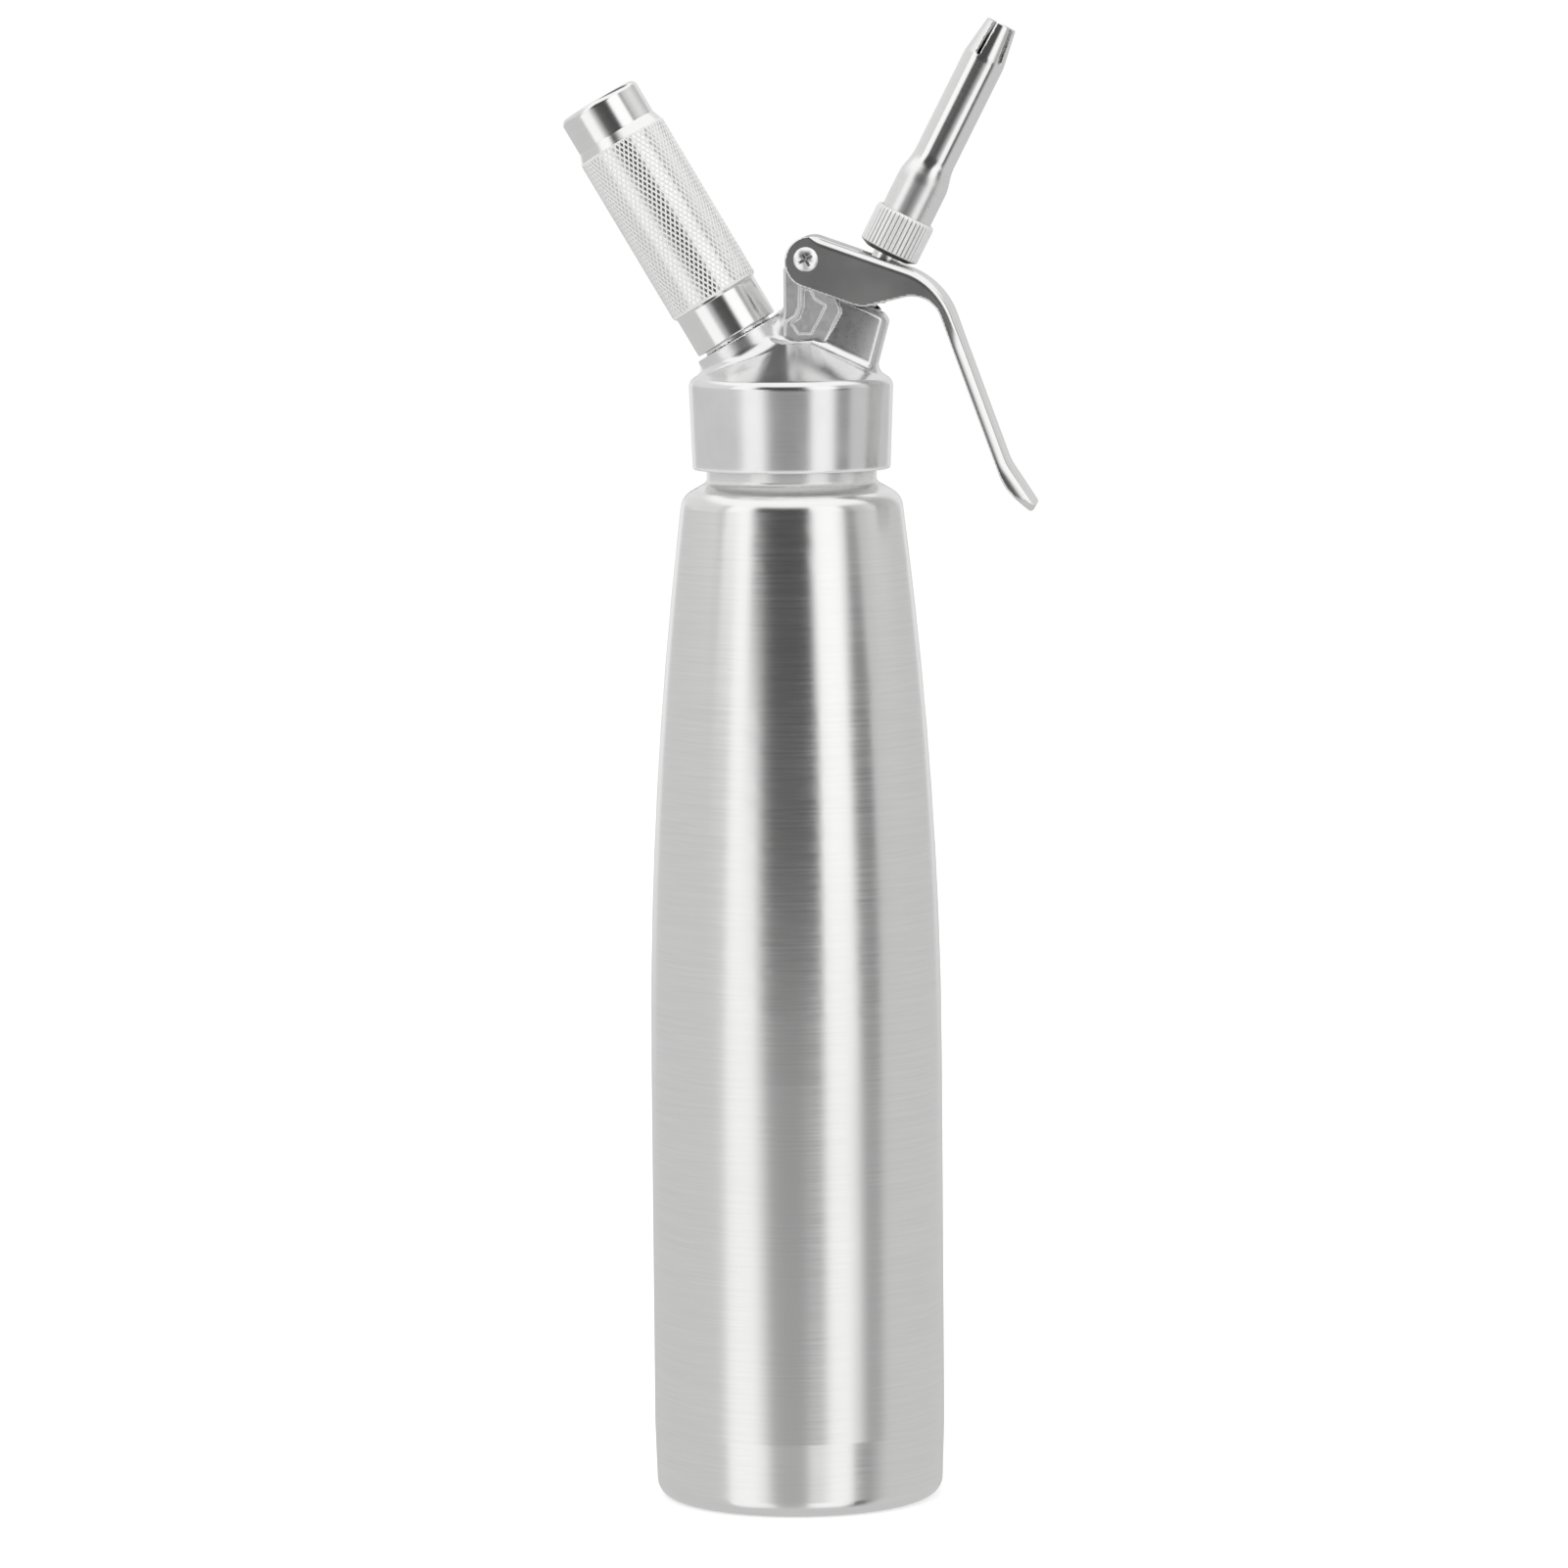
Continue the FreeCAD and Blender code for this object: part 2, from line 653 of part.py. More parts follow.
def make_head():
    body = new_body("dispenser_head")
    turned(body, "collar", [
        sharp("0", "collar_level"),
        rounded("collar_low_od / 2", "collar_level", "collar_lip_round"),
        rounded("collar_od / 2", "collar_top_level", "collar_round"),
        sharp("crown_od / 2", "crown_level"),
        sharp("0", "crown_level"),
    ])
    turned(body, "charger_boss", [
        sharp("0", "0 - charger_boss_root"),
        sharp("charger_boss_od / 2", "0 - charger_boss_root"),
        sharp("charger_boss_od / 2", "0"),
        sharp("0", "0"),
    ], seat=CHARGER_AXIS)
    turned(body, "valve_boss", [
        sharp("0", "0 - valve_boss_root"),
        sharp("valve_boss_od / 2 + valve_boss_root * tan(valve_boss_flare)",
              "0 - valve_boss_root"),
        sharp("valve_boss_od / 2", "0"),
        sharp("spring_well_od / 2 + valve_boss_lip", "valve_boss_bevel"),
        sharp("0", "valve_boss_bevel"),
    ], seat=VALVE_AXIS)
    add_post(body)
    turned(body, "neck_socket", [
        sharp("0", "collar_level - collar_lip_round"),
        sharp("collar_bore_r", "collar_level - collar_lip_round"),
        sharp("collar_bore_r", "ceiling_level"),
        sharp("vault_r", "ceiling_level"),
        sharp("vault_r", "vault_level"),
        sharp("0", "vault_level"),
    ], removes=True)
    turned(body, "seat_boss", [
        sharp("0", "0 - valve_seat"),
        sharp("seat_boss_od / 2", "0 - valve_seat"),
        sharp("seat_boss_od / 2", "0 - valve_boss_root"),
        sharp("0", "0 - valve_boss_root"),
    ], seat=VALVE_AXIS)
    turned(body, "valve_bore", [
        sharp("0", "0 - valve_seat"),
        sharp("chamber_od / 2", "0 - valve_seat"),
        sharp("chamber_od / 2", "chamber_length - valve_seat"),
        sharp("guide_r", "chamber_length - valve_seat"),
        sharp("guide_r", "gland_foot"),
        sharp("guide_r + ring_section", "gland_foot"),
        sharp("guide_r + ring_section", "0 - spring_well"),
        sharp("spring_well_od / 2", "0 - spring_well"),
        sharp("spring_well_od / 2", "valve_boss_bevel"),
        sharp("0", "valve_boss_bevel"),
    ], seat=VALVE_AXIS, removes=True)
    turned(body, "stud", [
        sharp("0", "0"),
        sharp("stud_root_od / 2", "0"),
        sharp("stud_root_od / 2", "stud_length"),
        sharp("0", "stud_length"),
    ], seat=CHARGER_AXIS)
    thread_ridge(body, "stud_thread", "stud_root_od / 2", "stud_ridge", "stud_pitch",
                 "stud_pitch", "stud_thread_length", seat=CHARGER_AXIS)
    turned(body, "gas_way", [
        sharp("0", "0 - gas_turn"),
        sharp("gas_way_od / 2", "0 - gas_turn"),
        sharp("gas_way_od / 2", "0 - pin_base_length"),
        sharp("pin_base_od / 2", "0 - pin_base_length"),
        sharp("pin_base_od / 2", "0"),
        sharp("recess_od / 2", "0"),
        sharp("recess_od / 2", "stud_length"),
        sharp("0", "stud_length"),
    ], seat=CHARGER_AXIS, removes=True)
    turned(body, "check_hole", [
        sharp("0", "vault_level"),
        sharp("check_shank_od / 2", "vault_level"),
        sharp("check_shank_od / 2", "check_hole_top"),
        sharp("gas_way_od / 2", "check_hole_top"),
        sharp("gas_way_od / 2", "gas_turn_level"),
        sharp("0", "gas_turn_level"),
    ], seat=CHECK_AXIS, removes=True)
    cross_bore(body, "pivot_bore", "pivot_x", "pivot_level", "sleeve_od / 2 + run_gap",
               "lever_width")
    return body


def add_post(body):
    """The post that carries the lever: a core, and wider faces beside the lever's cheeks."""
    plate(body, "post", [
        sharp("post_back_x", "post_foot_level"),
        rounded("post_front_x + post_flare", "post_foot_level", "lobe_round"),
        sharp("post_front_x", "pivot_level"),
        arc_from("pivot_x + post_head_radius", "pivot_level", "post_head_radius"),
        arc_from("pivot_x", "pivot_level + post_head_radius", "post_back_round"),
        sharp("post_back_x", "post_back_level"),
    ], "post_core_width")
    plate(body, "lobes", [
        rounded("lobe_back_x", "lobe_foot_level", "lobe_round"),
        rounded("lobe_foot_x", "lobe_foot_level", "lobe_round"),
        rounded("lobe_front_x", "lobe_front_level", "lobe_round"),
        arc_from("pivot_x + post_head_radius", "pivot_level", "post_head_radius"),
        arc_from("pivot_x", "pivot_level + post_head_radius", "post_head_radius"),
        sharp("pivot_x - post_head_radius", "pivot_level"),
    ], "post_width")


# ---------------------------------------------------------------- charger side


def make_piercing_pin():
    body = new_body("piercing_pin", CHARGER_SEAT)
    turned(body, "needle", [
        sharp("gas_bore / 2", "0 - pin_base_length"),
        sharp("pin_base_od / 2 - snug_gap", "0 - pin_base_length"),
        sharp("pin_base_od / 2 - snug_gap", "0"),
        sharp("needle_od / 2", "0"),
        sharp("needle_od / 2", "needle_length"),
        sharp("gas_bore / 2", "needle_length + needle_point"),
    ])


def make_check_valve():
    body = new_body("check_valve_body", CHECK_SEAT)
    turned(body, "spigot", [
        sharp("gas_bore / 2", "check_hole_top"),
        sharp("gas_bore / 2", "check_post_foot + check_knob"),
        sharp("0", "check_post_foot + check_knob"),
        sharp("0", "check_post_foot - check_knob"),
        sharp("check_knob_od / 2", "check_post_foot - check_knob"),
        sharp("check_knob_od / 2", "check_post_foot"),
        sharp("check_post_od / 2", "check_post_foot"),
        sharp("check_post_od / 2", "check_foot"),
        sharp("check_flange_od / 2", "check_foot"),
        sharp("check_flange_od / 2", "vault_level"),
        sharp("check_shank_od / 2 - snug_gap", "vault_level"),
        sharp("check_shank_od / 2 - snug_gap", "check_hole_top"),
    ])
    cross_bore(body, "port", "0", "(check_post_foot + check_foot) / 2", "check_port / 2",
               "check_flange_od")
    ring("check_valve_sleeve", "check_post_od / 2", "check_post_od / 2 + check_sleeve_wall",
         "check_post_foot", "check_foot", CHECK_SEAT)


def make_charger_holder():
    body = new_body("charger_holder", CHARGER_SEAT)
    turned(body, "cup", [
        sharp("holder_bore_r", "holder_gap"),
        sharp("holder_od / 2 - holder_bevel", "holder_gap"),
        sharp("holder_od / 2", "holder_gap + holder_bevel"),
        sharp("holder_od / 2", "knurl_start"),
        sharp("knurl_od / 2", "knurl_start + knurl_bevel"),
        sharp("knurl_od / 2", "knurl_end"),
        sharp("holder_cap_od / 2", "knurl_end + cap_bevel"),
        rounded("holder_cap_od / 2", "holder_end", "holder_cap_round"),
        sharp("0", "holder_end"),
        arc_from("0", "bulb_cap + bulb_room_r", "bulb_room_r", "right"),
        sharp("bulb_room_r", "bulb_cap"),
        sharp("bulb_room_r", "holder_thread_end"),
        sharp("holder_bore_r", "holder_thread_end - (holder_bore_r - bulb_room_r)"),
    ])


def make_gas_charger():
    """The pierced eight-gram steel bulb."""
    body = new_body("gas_charger", CHARGER_SEAT)
    turned(body, "bulb", [
        sharp("pierced_r", "bulb_tip"),
        rounded("bulb_neck_r", "bulb_tip", "bulb_tip_round"),
        rounded("bulb_neck_r", "bulb_shoulder", "bulb_neck_round"),
        rounded("bulb_r", "bulb_body", "bulb_body_round"),
        arc_from("bulb_r", "bulb_cap", "bulb_r"),
        sharp("0", "bulb_cap + bulb_r"),
        arc_from("0", "bulb_cap + bulb_r - bulb_wall", "bulb_r - bulb_wall", "right"),
        sharp("bulb_r - bulb_wall", "bulb_cap"),
        sharp("bulb_r - bulb_wall", "bulb_body"),
        sharp("bulb_neck_r - bulb_wall", "bulb_shoulder"),
        sharp("bulb_neck_r - bulb_wall", "bulb_tip + bulb_wall"),
        sharp("pierced_r", "bulb_tip + bulb_wall"),
    ])


# ---------------------------------------------------------------- valve and nozzle


def make_valve_stem():
    body = new_body("valve_stem", VALVE_SEAT)
    turned(body, "tube", [
        sharp("0", "stem_foot"),
        sharp("stem_flange_od / 2", "stem_foot"),
        sharp("stem_flange_od / 2", "stem_foot + stem_flange"),
        sharp("stem_r", "stem_foot + stem_flange"),
        sharp("stem_r", "stem_top"),
        sharp("stem_bore / 2", "stem_top"),
        sharp("stem_bore / 2", "stem_floor - valve_seat"),
        sharp("0", "stem_floor - valve_seat"),
    ])
    port_level = "stem_floor + stem_port_rise + stem_port / 2 - valve_seat"
    cross_bore(body, "port_across", "0", port_level, "stem_port / 2", "stem_flange_od")
    cross_bore(body, "port_along", "0", port_level, "stem_port / 2", "stem_flange_od",
               role="YZ_Plane")


def make_thrust_nut():
    body = new_body("thrust_nut", VALVE_SEAT)
    turned(body, "dome", [
        sharp("stem_r", "thrust_nut_level"),
        sharp("thrust_nut_od / 2", "thrust_nut_level"),
        arc_from("thrust_nut_od / 2", "dome_rim", "thrust_dome"),
        sharp("stem_r", "dome_eye"),
    ])


def make_valve_spring():
    body = new_body("valve_spring", VALVE_SEAT)
    sketch = new_sketch(body, "wire_outline")
    draw_circle(sketch, "(spring_coil_od - spring_wire) / 2", "bush_top + spring_wire / 2",
                "spring_wire / 2")
    coil = body.newObject("PartDesign::AdditiveHelix", "coil")
    coil.Profile = sketch
    coil.ReferenceAxis = (sketch, ["V_Axis"])
    coil.Mode = "height-turns-angle"
    coil.setExpression("Height", formula("spring_length - spring_wire"))
    coil.setExpression("Turns", formula("spring_coils"))
    finish_feature(body, coil, False)


def make_stem_ring():
    body = new_body("stem_o_ring", VALVE_SEAT)
    sketch = new_sketch(body, "section")
    draw_circle(sketch, "guide_r + ring_section / 2", "gland_foot + ring_section / 2",
                "ring_section / 2")
    turn = body.newObject("PartDesign::Revolution", "turn")
    turn.Profile = sketch
    turn.ReferenceAxis = (sketch, ["V_Axis"])
    turn.Angle = 360
    finish_feature(body, turn, False)


def make_nozzle_nut():
    body = new_body("nozzle_nut", VALVE_SEAT)
    turned(body, "blank", [
        sharp("guide_r", "nut_level"),
        sharp("nut_od / 2 - nut_foot_bevel", "nut_level"),
        sharp("nut_od / 2", "nut_level + nut_foot_bevel / 2"),
        sharp("nut_od / 2", "nut_top - nut_bevel"),
        sharp("nut_od / 2 - nut_bevel", "nut_top"),
        sharp("tube_wide_r", "nut_top"),
        sharp("tube_wide_r", "tube_foot"),
        sharp("nozzle_seal_od / 2 + run_gap", "tube_foot"),
        sharp("nozzle_seal_od / 2 + run_gap", "stem_top"),
        sharp("guide_r", "stem_top"),
    ])
    groove = plate(body, "rib_groove", [
        sharp("nut_od / 2 - rib_depth", "nut_level + nut_foot_bevel / 2 + 2 * rib_depth"),
        sharp("nut_od / 2 + rib_depth", "nut_level + nut_foot_bevel / 2"),
        sharp("nut_od / 2 + rib_depth", "nut_top - nut_bevel"),
        sharp("nut_od / 2 - rib_depth", "nut_top - nut_bevel - rib_depth"),
    ], "rib_groove", removes=True)
    around(body, "rib_grooves", groove, "nut_ribs")


FIRST_SLOT = "placement(vector(0; 0; 0); rotation(vector(0; 1; 0); tip_slot_turn))"


def make_nozzle_tube():
    body = new_body("nozzle_tube", VALVE_SEAT)
    turned(body, "shell", [
        sharp("tube_foot_r", "tube_foot"),
        sharp("tube_wide_r", "tube_foot"),
        rounded("tube_wide_r", "tube_wide_top", "tube_shoulder_round"),
        rounded("tube_narrow_r", "tube_shoulder_top", "tube_shoulder_round"),
        sharp("tube_narrow_r", "tube_taper_level"),
        sharp("tip_od / 2", "tip_level"),
        sharp("tip_od / 2 - tube_wall", "tip_level"),
        sharp("tube_narrow_r - tube_wall", "tube_taper_level"),
        sharp("tube_narrow_r - tube_wall", "tube_shoulder_top"),
        sharp("tube_wide_r - tube_wall", "tube_wide_top"),
        sharp("tube_wide_r - tube_wall", "tube_foot + tube_wall"),
        sharp("tube_foot_r", "tube_foot + tube_wall"),
    ])
    slot = plate(body, "tip_slot", [
        sharp("tip_od / 4", "tip_level - tip_slot_length"),
        sharp("tube_narrow_r + tube_wall", "tip_level - tip_slot_length"),
        sharp("tube_narrow_r + tube_wall", "tip_level + tube_wall"),
        sharp("tip_od / 4", "tip_level + tube_wall"),
    ], "tip_slot_width", seat=FIRST_SLOT, removes=True)
    around(body, "tip_slots", slot, "tip_slots")


# ---------------------------------------------------------------- lever and pivot


def on_web(along, above):
    """A point so far along the lever's web from the pivot, and so far above the pivot."""
    across = "pivot_x + (%s) * cos(web_slope) + (%s) * sin(web_slope)" % (along, above)
    level = "pivot_level - (%s) * sin(web_slope) + (%s) * cos(web_slope)" % (along, above)
    return sharp(across, level)


def make_lever():
    body = new_body("lever")
    plate(body, "blank", [
        arc_from("web_top_x", "web_top_level", "lever_end_radius"),
        arc_from("end_x - lever_end_radius", "end_level", "lever_end_radius"),
        sharp("cheek_foot_x", "cheek_foot_level"),
        rounded("belly_x", "belly_level", "belly_round"),
        rounded("throat_x", "throat_level", "throat_round"),
        rounded("heel_x", "heel_level", "flare_round"),
        rounded("lip_x - lip_back", "lip_foot_level", "lip_round"),
        rounded("lip_x", "lip_level", "lip_round"),
        rounded("handle_out_x", "handle_end_level", "flare_round"),
        rounded("bend_x", "bend_level", "bend_round"),
    ], "lever_width")
    for side, sign in (("near", "0 -"), ("far", "0 +")):
        plate(body, side + "_lip_corner", [
            arc_from("%s cheek_out" % sign, "lip_foot_level + lip_corner", "lip_corner",
                     "left" if side == "near" else "right"),
            sharp("%s (cheek_out - lip_corner)" % sign, "lip_foot_level"),
            sharp("%s (cheek_out - lip_corner)" % sign, "lip_foot_level - cut_margin"),
            sharp("%s (cheek_out + cut_margin)" % sign, "lip_foot_level - cut_margin"),
            sharp("%s (cheek_out + cut_margin)" % sign, "lip_foot_level + lip_corner"),
        ], "2 * (lip_x + cut_margin)", removes=True, role="YZ_Plane")
    plate(body, "channel", [
        on_web("0 - lever_end_radius - cut_margin", "web_under"),
        sharp("end_x - lever_end_radius - cut_margin", "cheek_foot_level - cut_margin"),
        sharp("belly_x", "belly_level - cut_margin"),
        sharp("channel_x", "channel_level"),
        rounded("inner_bend_x", "inner_bend_level", "bend_round - lever_sheet"),
    ], "cheek_gap", removes=True)
    plate(body, "stem_slot", [
        on_web("web_slot_reach - web_slot_length / 2", "web_under - lever_sheet"),
        on_web("web_slot_reach + web_slot_length / 2", "web_under - lever_sheet"),
        on_web("web_slot_reach + web_slot_length / 2", "web_offset + lever_sheet"),
        on_web("web_slot_reach - web_slot_length / 2", "web_offset + lever_sheet"),
    ], "web_slot_width", removes=True)
    cross_bore(body, "pivot_hole", "pivot_x", "pivot_level", "sleeve_od / 2 + snug_gap",
               "lever_width + cut_margin")


PIVOT_SEAT = "placement(vector(pivot_x; 0; pivot_level); rotation(vector(1; 0; 0); 90))"


def make_pivot():
    sleeve = new_body("pivot_sleeve", PIVOT_SEAT)
    turned(sleeve, "barrel", [
        sharp("screw_od / 2 + snug_gap", "screw_head - cheek_out"),
        sharp("0", "screw_head - cheek_out"),
        sharp("0", "0 - cheek_out - screw_head"),
        rounded("screw_head_od / 2", "0 - cheek_out - screw_head", "screw_head_round"),
        sharp("screw_head_od / 2", "0 - cheek_out"),
        sharp("sleeve_od / 2", "0 - cheek_out"),
        sharp("sleeve_od / 2", "cheek_out - snug_gap"),
        sharp("screw_od / 2 + snug_gap", "cheek_out - snug_gap"),
    ])
    screw = new_body("pivot_screw", PIVOT_SEAT)
    turned(screw, "shank", [
        sharp("0", "screw_head - cheek_out + screw_tip_gap"),
        sharp("screw_od / 2", "screw_head - cheek_out + screw_tip_gap"),
        sharp("screw_od / 2", "cheek_out"),
        sharp("screw_head_od / 2", "cheek_out"),
        rounded("screw_head_od / 2", "cheek_out + screw_head", "screw_head_round"),
        sharp("0", "cheek_out + screw_head"),
    ])
    for name, role in (("cross_wide", "XZ_Plane"), ("cross_high", "YZ_Plane")):
        plate(screw, name, [
            sharp("0 - cross_length / 2", "cheek_out + screw_head"),
            sharp("cross_width / 2 - cross_length / 2", "cheek_out + screw_head - cross_depth"),
            sharp("cross_length / 2 - cross_width / 2", "cheek_out + screw_head - cross_depth"),
            sharp("cross_length / 2", "cheek_out + screw_head"),
        ], "cross_width", removes=True, role=role)


# ---------------------------------------------------------------- the whole dispenser


def build_dispenser():
    make_bottle()
    ring("head_gasket", "gasket_hole_r", "gasket_r", "rim_level", "ceiling_level")
    make_head()
    make_piercing_pin()
    ring("charger_seal", "needle_od / 2 + run_gap", "recess_od / 2 - snug_gap", "0",
         "charger_seal_thickness", CHARGER_SEAT)
    make_check_valve()
    make_gas_charger()
    make_charger_holder()
    make_stem_ring()
    ring("stem_guide_bush", "guide_r", "spring_well_od / 2 - snug_gap", "0 - spring_well",
         "bush_top", VALVE_SEAT)
    make_valve_spring()
    make_valve_stem()
    ring("valve_seal", "stem_r", "valve_seal_od / 2", "stem_foot + stem_flange",
         "0 - valve_seat", VALVE_SEAT)
    make_thrust_nut()
    ring("nozzle_seal", "stem_bore / 2", "nozzle_seal_od / 2", "stem_top", "tube_foot",
         VALVE_SEAT)
    make_nozzle_nut()
    make_nozzle_tube()
    make_lever()
    make_pivot()
    doc.recompute()


def pieces():
    return [item for item in doc.Objects if item.TypeId == "PartDesign::Body"]


def check_document():
    for item in doc.Objects:
        if "Invalid" in item.State or "Error" in item.State:
            raise RuntimeError("%s failed: %s" % (item.Label, item.State))
    for piece in pieces():
        shape = piece.Shape
        if shape.isNull() or not shape.isValid() or len(shape.Solids) != 1:
            raise RuntimeError("%s is not one valid solid" % piece.Label)


def write_parts():
    os.makedirs("parts", exist_ok=True)
    for piece in pieces():
        piece.Shape.exportStep("parts/%s.step" % piece.Label)


build_dispenser()
check_document()
write_parts()
for piece in pieces():
    print("%-20s %10.1f mm3" % (piece.Label, piece.Shape.Volume))
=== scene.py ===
"""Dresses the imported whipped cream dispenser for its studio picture.

Shapes are worked out in millimetres in the CAD frame, +Z up, and become metres only when a mesh
is made. Cast and pressed pieces are distance fields: functions of x, y and z that are negative
inside the metal. The charger and valve pieces are drawn along their own tilted seats.
"""

import json
import math

import bpy
import numpy as np
import openvdb
from mathutils import Matrix, Vector


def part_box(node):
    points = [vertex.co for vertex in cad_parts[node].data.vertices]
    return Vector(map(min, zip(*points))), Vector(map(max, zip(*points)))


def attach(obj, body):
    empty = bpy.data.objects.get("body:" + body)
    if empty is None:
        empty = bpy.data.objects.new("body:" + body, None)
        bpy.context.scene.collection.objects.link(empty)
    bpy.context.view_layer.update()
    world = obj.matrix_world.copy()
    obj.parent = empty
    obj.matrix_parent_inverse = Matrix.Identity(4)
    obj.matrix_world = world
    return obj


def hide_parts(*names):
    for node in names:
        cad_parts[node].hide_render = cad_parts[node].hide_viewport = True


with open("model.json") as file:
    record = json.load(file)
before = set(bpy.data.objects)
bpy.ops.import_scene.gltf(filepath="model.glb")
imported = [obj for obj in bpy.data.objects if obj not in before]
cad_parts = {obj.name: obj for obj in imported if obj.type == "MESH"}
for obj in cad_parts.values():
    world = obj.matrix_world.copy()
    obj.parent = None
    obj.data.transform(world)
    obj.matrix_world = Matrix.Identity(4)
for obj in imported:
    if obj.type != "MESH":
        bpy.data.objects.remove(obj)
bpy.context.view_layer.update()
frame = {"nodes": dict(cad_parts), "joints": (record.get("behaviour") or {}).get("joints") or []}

MM = 0.001
JOINTS = {joint["name"]: joint for joint in frame["joints"]}


class Seat:
    """A joint's axis as a local frame: across it in the XZ plane, across it along Y, along it."""

    def __init__(self, joint):
        self.foot = Vector(joint["pos_m"]) / MM
        self.axis = Vector(joint["axis"]).normalized()
        self.side = Vector((self.axis.z, 0, -self.axis.x))

    def across(self, x, z):
        return (x - self.foot.x) * self.side.x + (z - self.foot.z) * self.side.z

    def along(self, x, z):
        return (x - self.foot.x) * self.axis.x + (z - self.foot.z) * self.axis.z

    def matrix(self):
        turn = Matrix((self.side, (0, 1, 0), self.axis)).transposed()
        return Matrix.Translation(self.foot * MM) @ turn.to_4x4()

    def tilt(self):
        return math.atan2(self.axis.x, self.axis.z)


CHARGER = Seat(JOINTS["charger_turn"])
VALVE = Seat(JOINTS["nozzle_turn"])
PIVOT_X, _, PIVOT_Z = (value / MM for value in JOINTS["lever_squeeze"]["pos_m"])


# ---------------------------------------------------------------- outlines


def arc(centre, radius, start, end, steps=12):
    """Points on an arc, from one angle to another in degrees."""
    rows = []
    for angle in np.radians(np.linspace(start, end, steps + 1)):
        normal = (math.cos(angle), math.sin(angle))
        rows.append((centre[0] + radius * normal[0], centre[1] + radius * normal[1]))
    return rows


def arc_between(start, end, radius, steps=16):
    """An arc from start to end that bulges to the left of its chord, or right if radius < 0."""
    chord = np.subtract(end, start)
    half = np.hypot(*chord) / 2
    left = np.array([-chord[1], chord[0]]) / (2 * half)
    centre = np.add(start, end) / 2 - left * math.copysign(
        math.sqrt(radius ** 2 - half ** 2), radius)
    first = math.atan2(*(np.subtract(start, centre))[::-1])
    turn = math.copysign(2 * math.asin(half / abs(radius)), -radius)
    angles = first + turn * np.linspace(0, 1, steps + 1)
    return [(centre[0] + abs(radius) * math.cos(a), centre[1] + abs(radius) * math.sin(a))
            for a in angles]


def outline(*corners, steps=8):
    """A closed outline as rows of x, y and normal. A corner is (x, y) or (x, y, radius); a sharp
    corner gives two rows, one for the normal of each side."""
    places = [np.array(corner[:2], float) for corner in corners]
    following = places[1:] + places[:1]
    area = sum(a[0] * b[1] - b[0] * a[1] for a, b in zip(places, following))
    facing = 1 if area > 0 else -1
    rows = []
    for i, corner in enumerate(corners):
        here = places[i]
        arriving = here - places[i - 1]
        leaving = following[i] - here
        arriving /= np.hypot(*arriving)
        leaving /= np.hypot(*leaving)
        normal_in = facing * np.array([arriving[1], -arriving[0]])
        normal_out = facing * np.array([leaving[1], -leaving[0]])
        radius = corner[2] if len(corner) > 2 else 0
        if not radius:
            rows.append((*here, *normal_in))
            rows.append((*here, *normal_out))
            continue
        turn = math.atan2(arriving[0] * leaving[1] - arriving[1] * leaving[0],
                          arriving @ leaving)
        setback = radius * math.tan(abs(turn) / 2)
        inward = math.copysign(1, turn) * np.array([-arriving[1], arriving[0]])
        centre = here - arriving * setback + inward * radius
        for share in np.linspace(0, 1, steps + 1):
            angle = turn * share
            spoke = np.array([
                -inward[0] * math.cos(angle) + inward[1] * math.sin(angle),
                -inward[0] * math.sin(angle) - inward[1] * math.cos(angle)])
            normal = spoke * facing * math.copysign(1, turn)
            rows.append((*(centre + spoke * radius), *normal))
    return rows


def outline_distance(u, v, rows):
    """Signed distance to a closed outline, negative inside it."""
    points = [row[:2] for row in rows]
    nearest = np.float32(1e9)
    inside = False
    for (ax, ay), (bx, by) in zip(points, points[1:] + points[:1]):
        ex, ey = bx - ax, by - ay
        length = ex * ex + ey * ey
        if length < 1e-12:
            continue
        wx, wy = u - ax, v - ay
        along = np.clip((wx * ex + wy * ey) / length, 0, 1)
        nearest = np.minimum(nearest, (wx - ex * along) ** 2 + (wy - ey * along) ** 2)
        crosses = (ay <= v) != (by <= v)
        inside = inside ^ (crosses & ((ex * wy > ey * wx) == (by > ay)))
    return np.where(inside, -1, 1) * np.sqrt(nearest)


# ---------------------------------------------------------------- distance fields


def union(a, b, fillet):
    """Two solids joined, with a fillet in the corner between them."""
    return np.maximum(fillet, np.minimum(a, b)) - np.hypot(
        np.maximum(fillet - a, 0), np.maximum(fillet - b, 0))


def overlap(a, b, edge):
    """What two solids share, with the edge between them rounded."""
    return np.minimum(-edge, np.maximum(a, b)) + np.hypot(
        np.maximum(edge + a, 0), np.maximum(edge + b, 0))


def cut(solid, tool, edge):
    """A solid without the tool, with the edge of the cut rounded."""
    return overlap(solid, -tool, edge)


def smooth_step(value, low, high):
    """From 0 at low to 1 at high, level at both ends."""
    share = np.clip((value - low) / (high - low), 0, 1)
    return share * share * (3 - 2 * share)


def slab(value, low, high):
    """The layer between two values."""
    return np.maximum(low - value, value - high)


def gradient(field, points, step):
    """The field's slope at each point, by central differences."""
    slopes = []
    for axis in range(3):
        shift = np.zeros(3)
        shift[axis] = step
        slopes.append(field(*(points + shift).T) - field(*(points - shift).T))
    return np.stack(slopes, axis=1) / (2 * step)


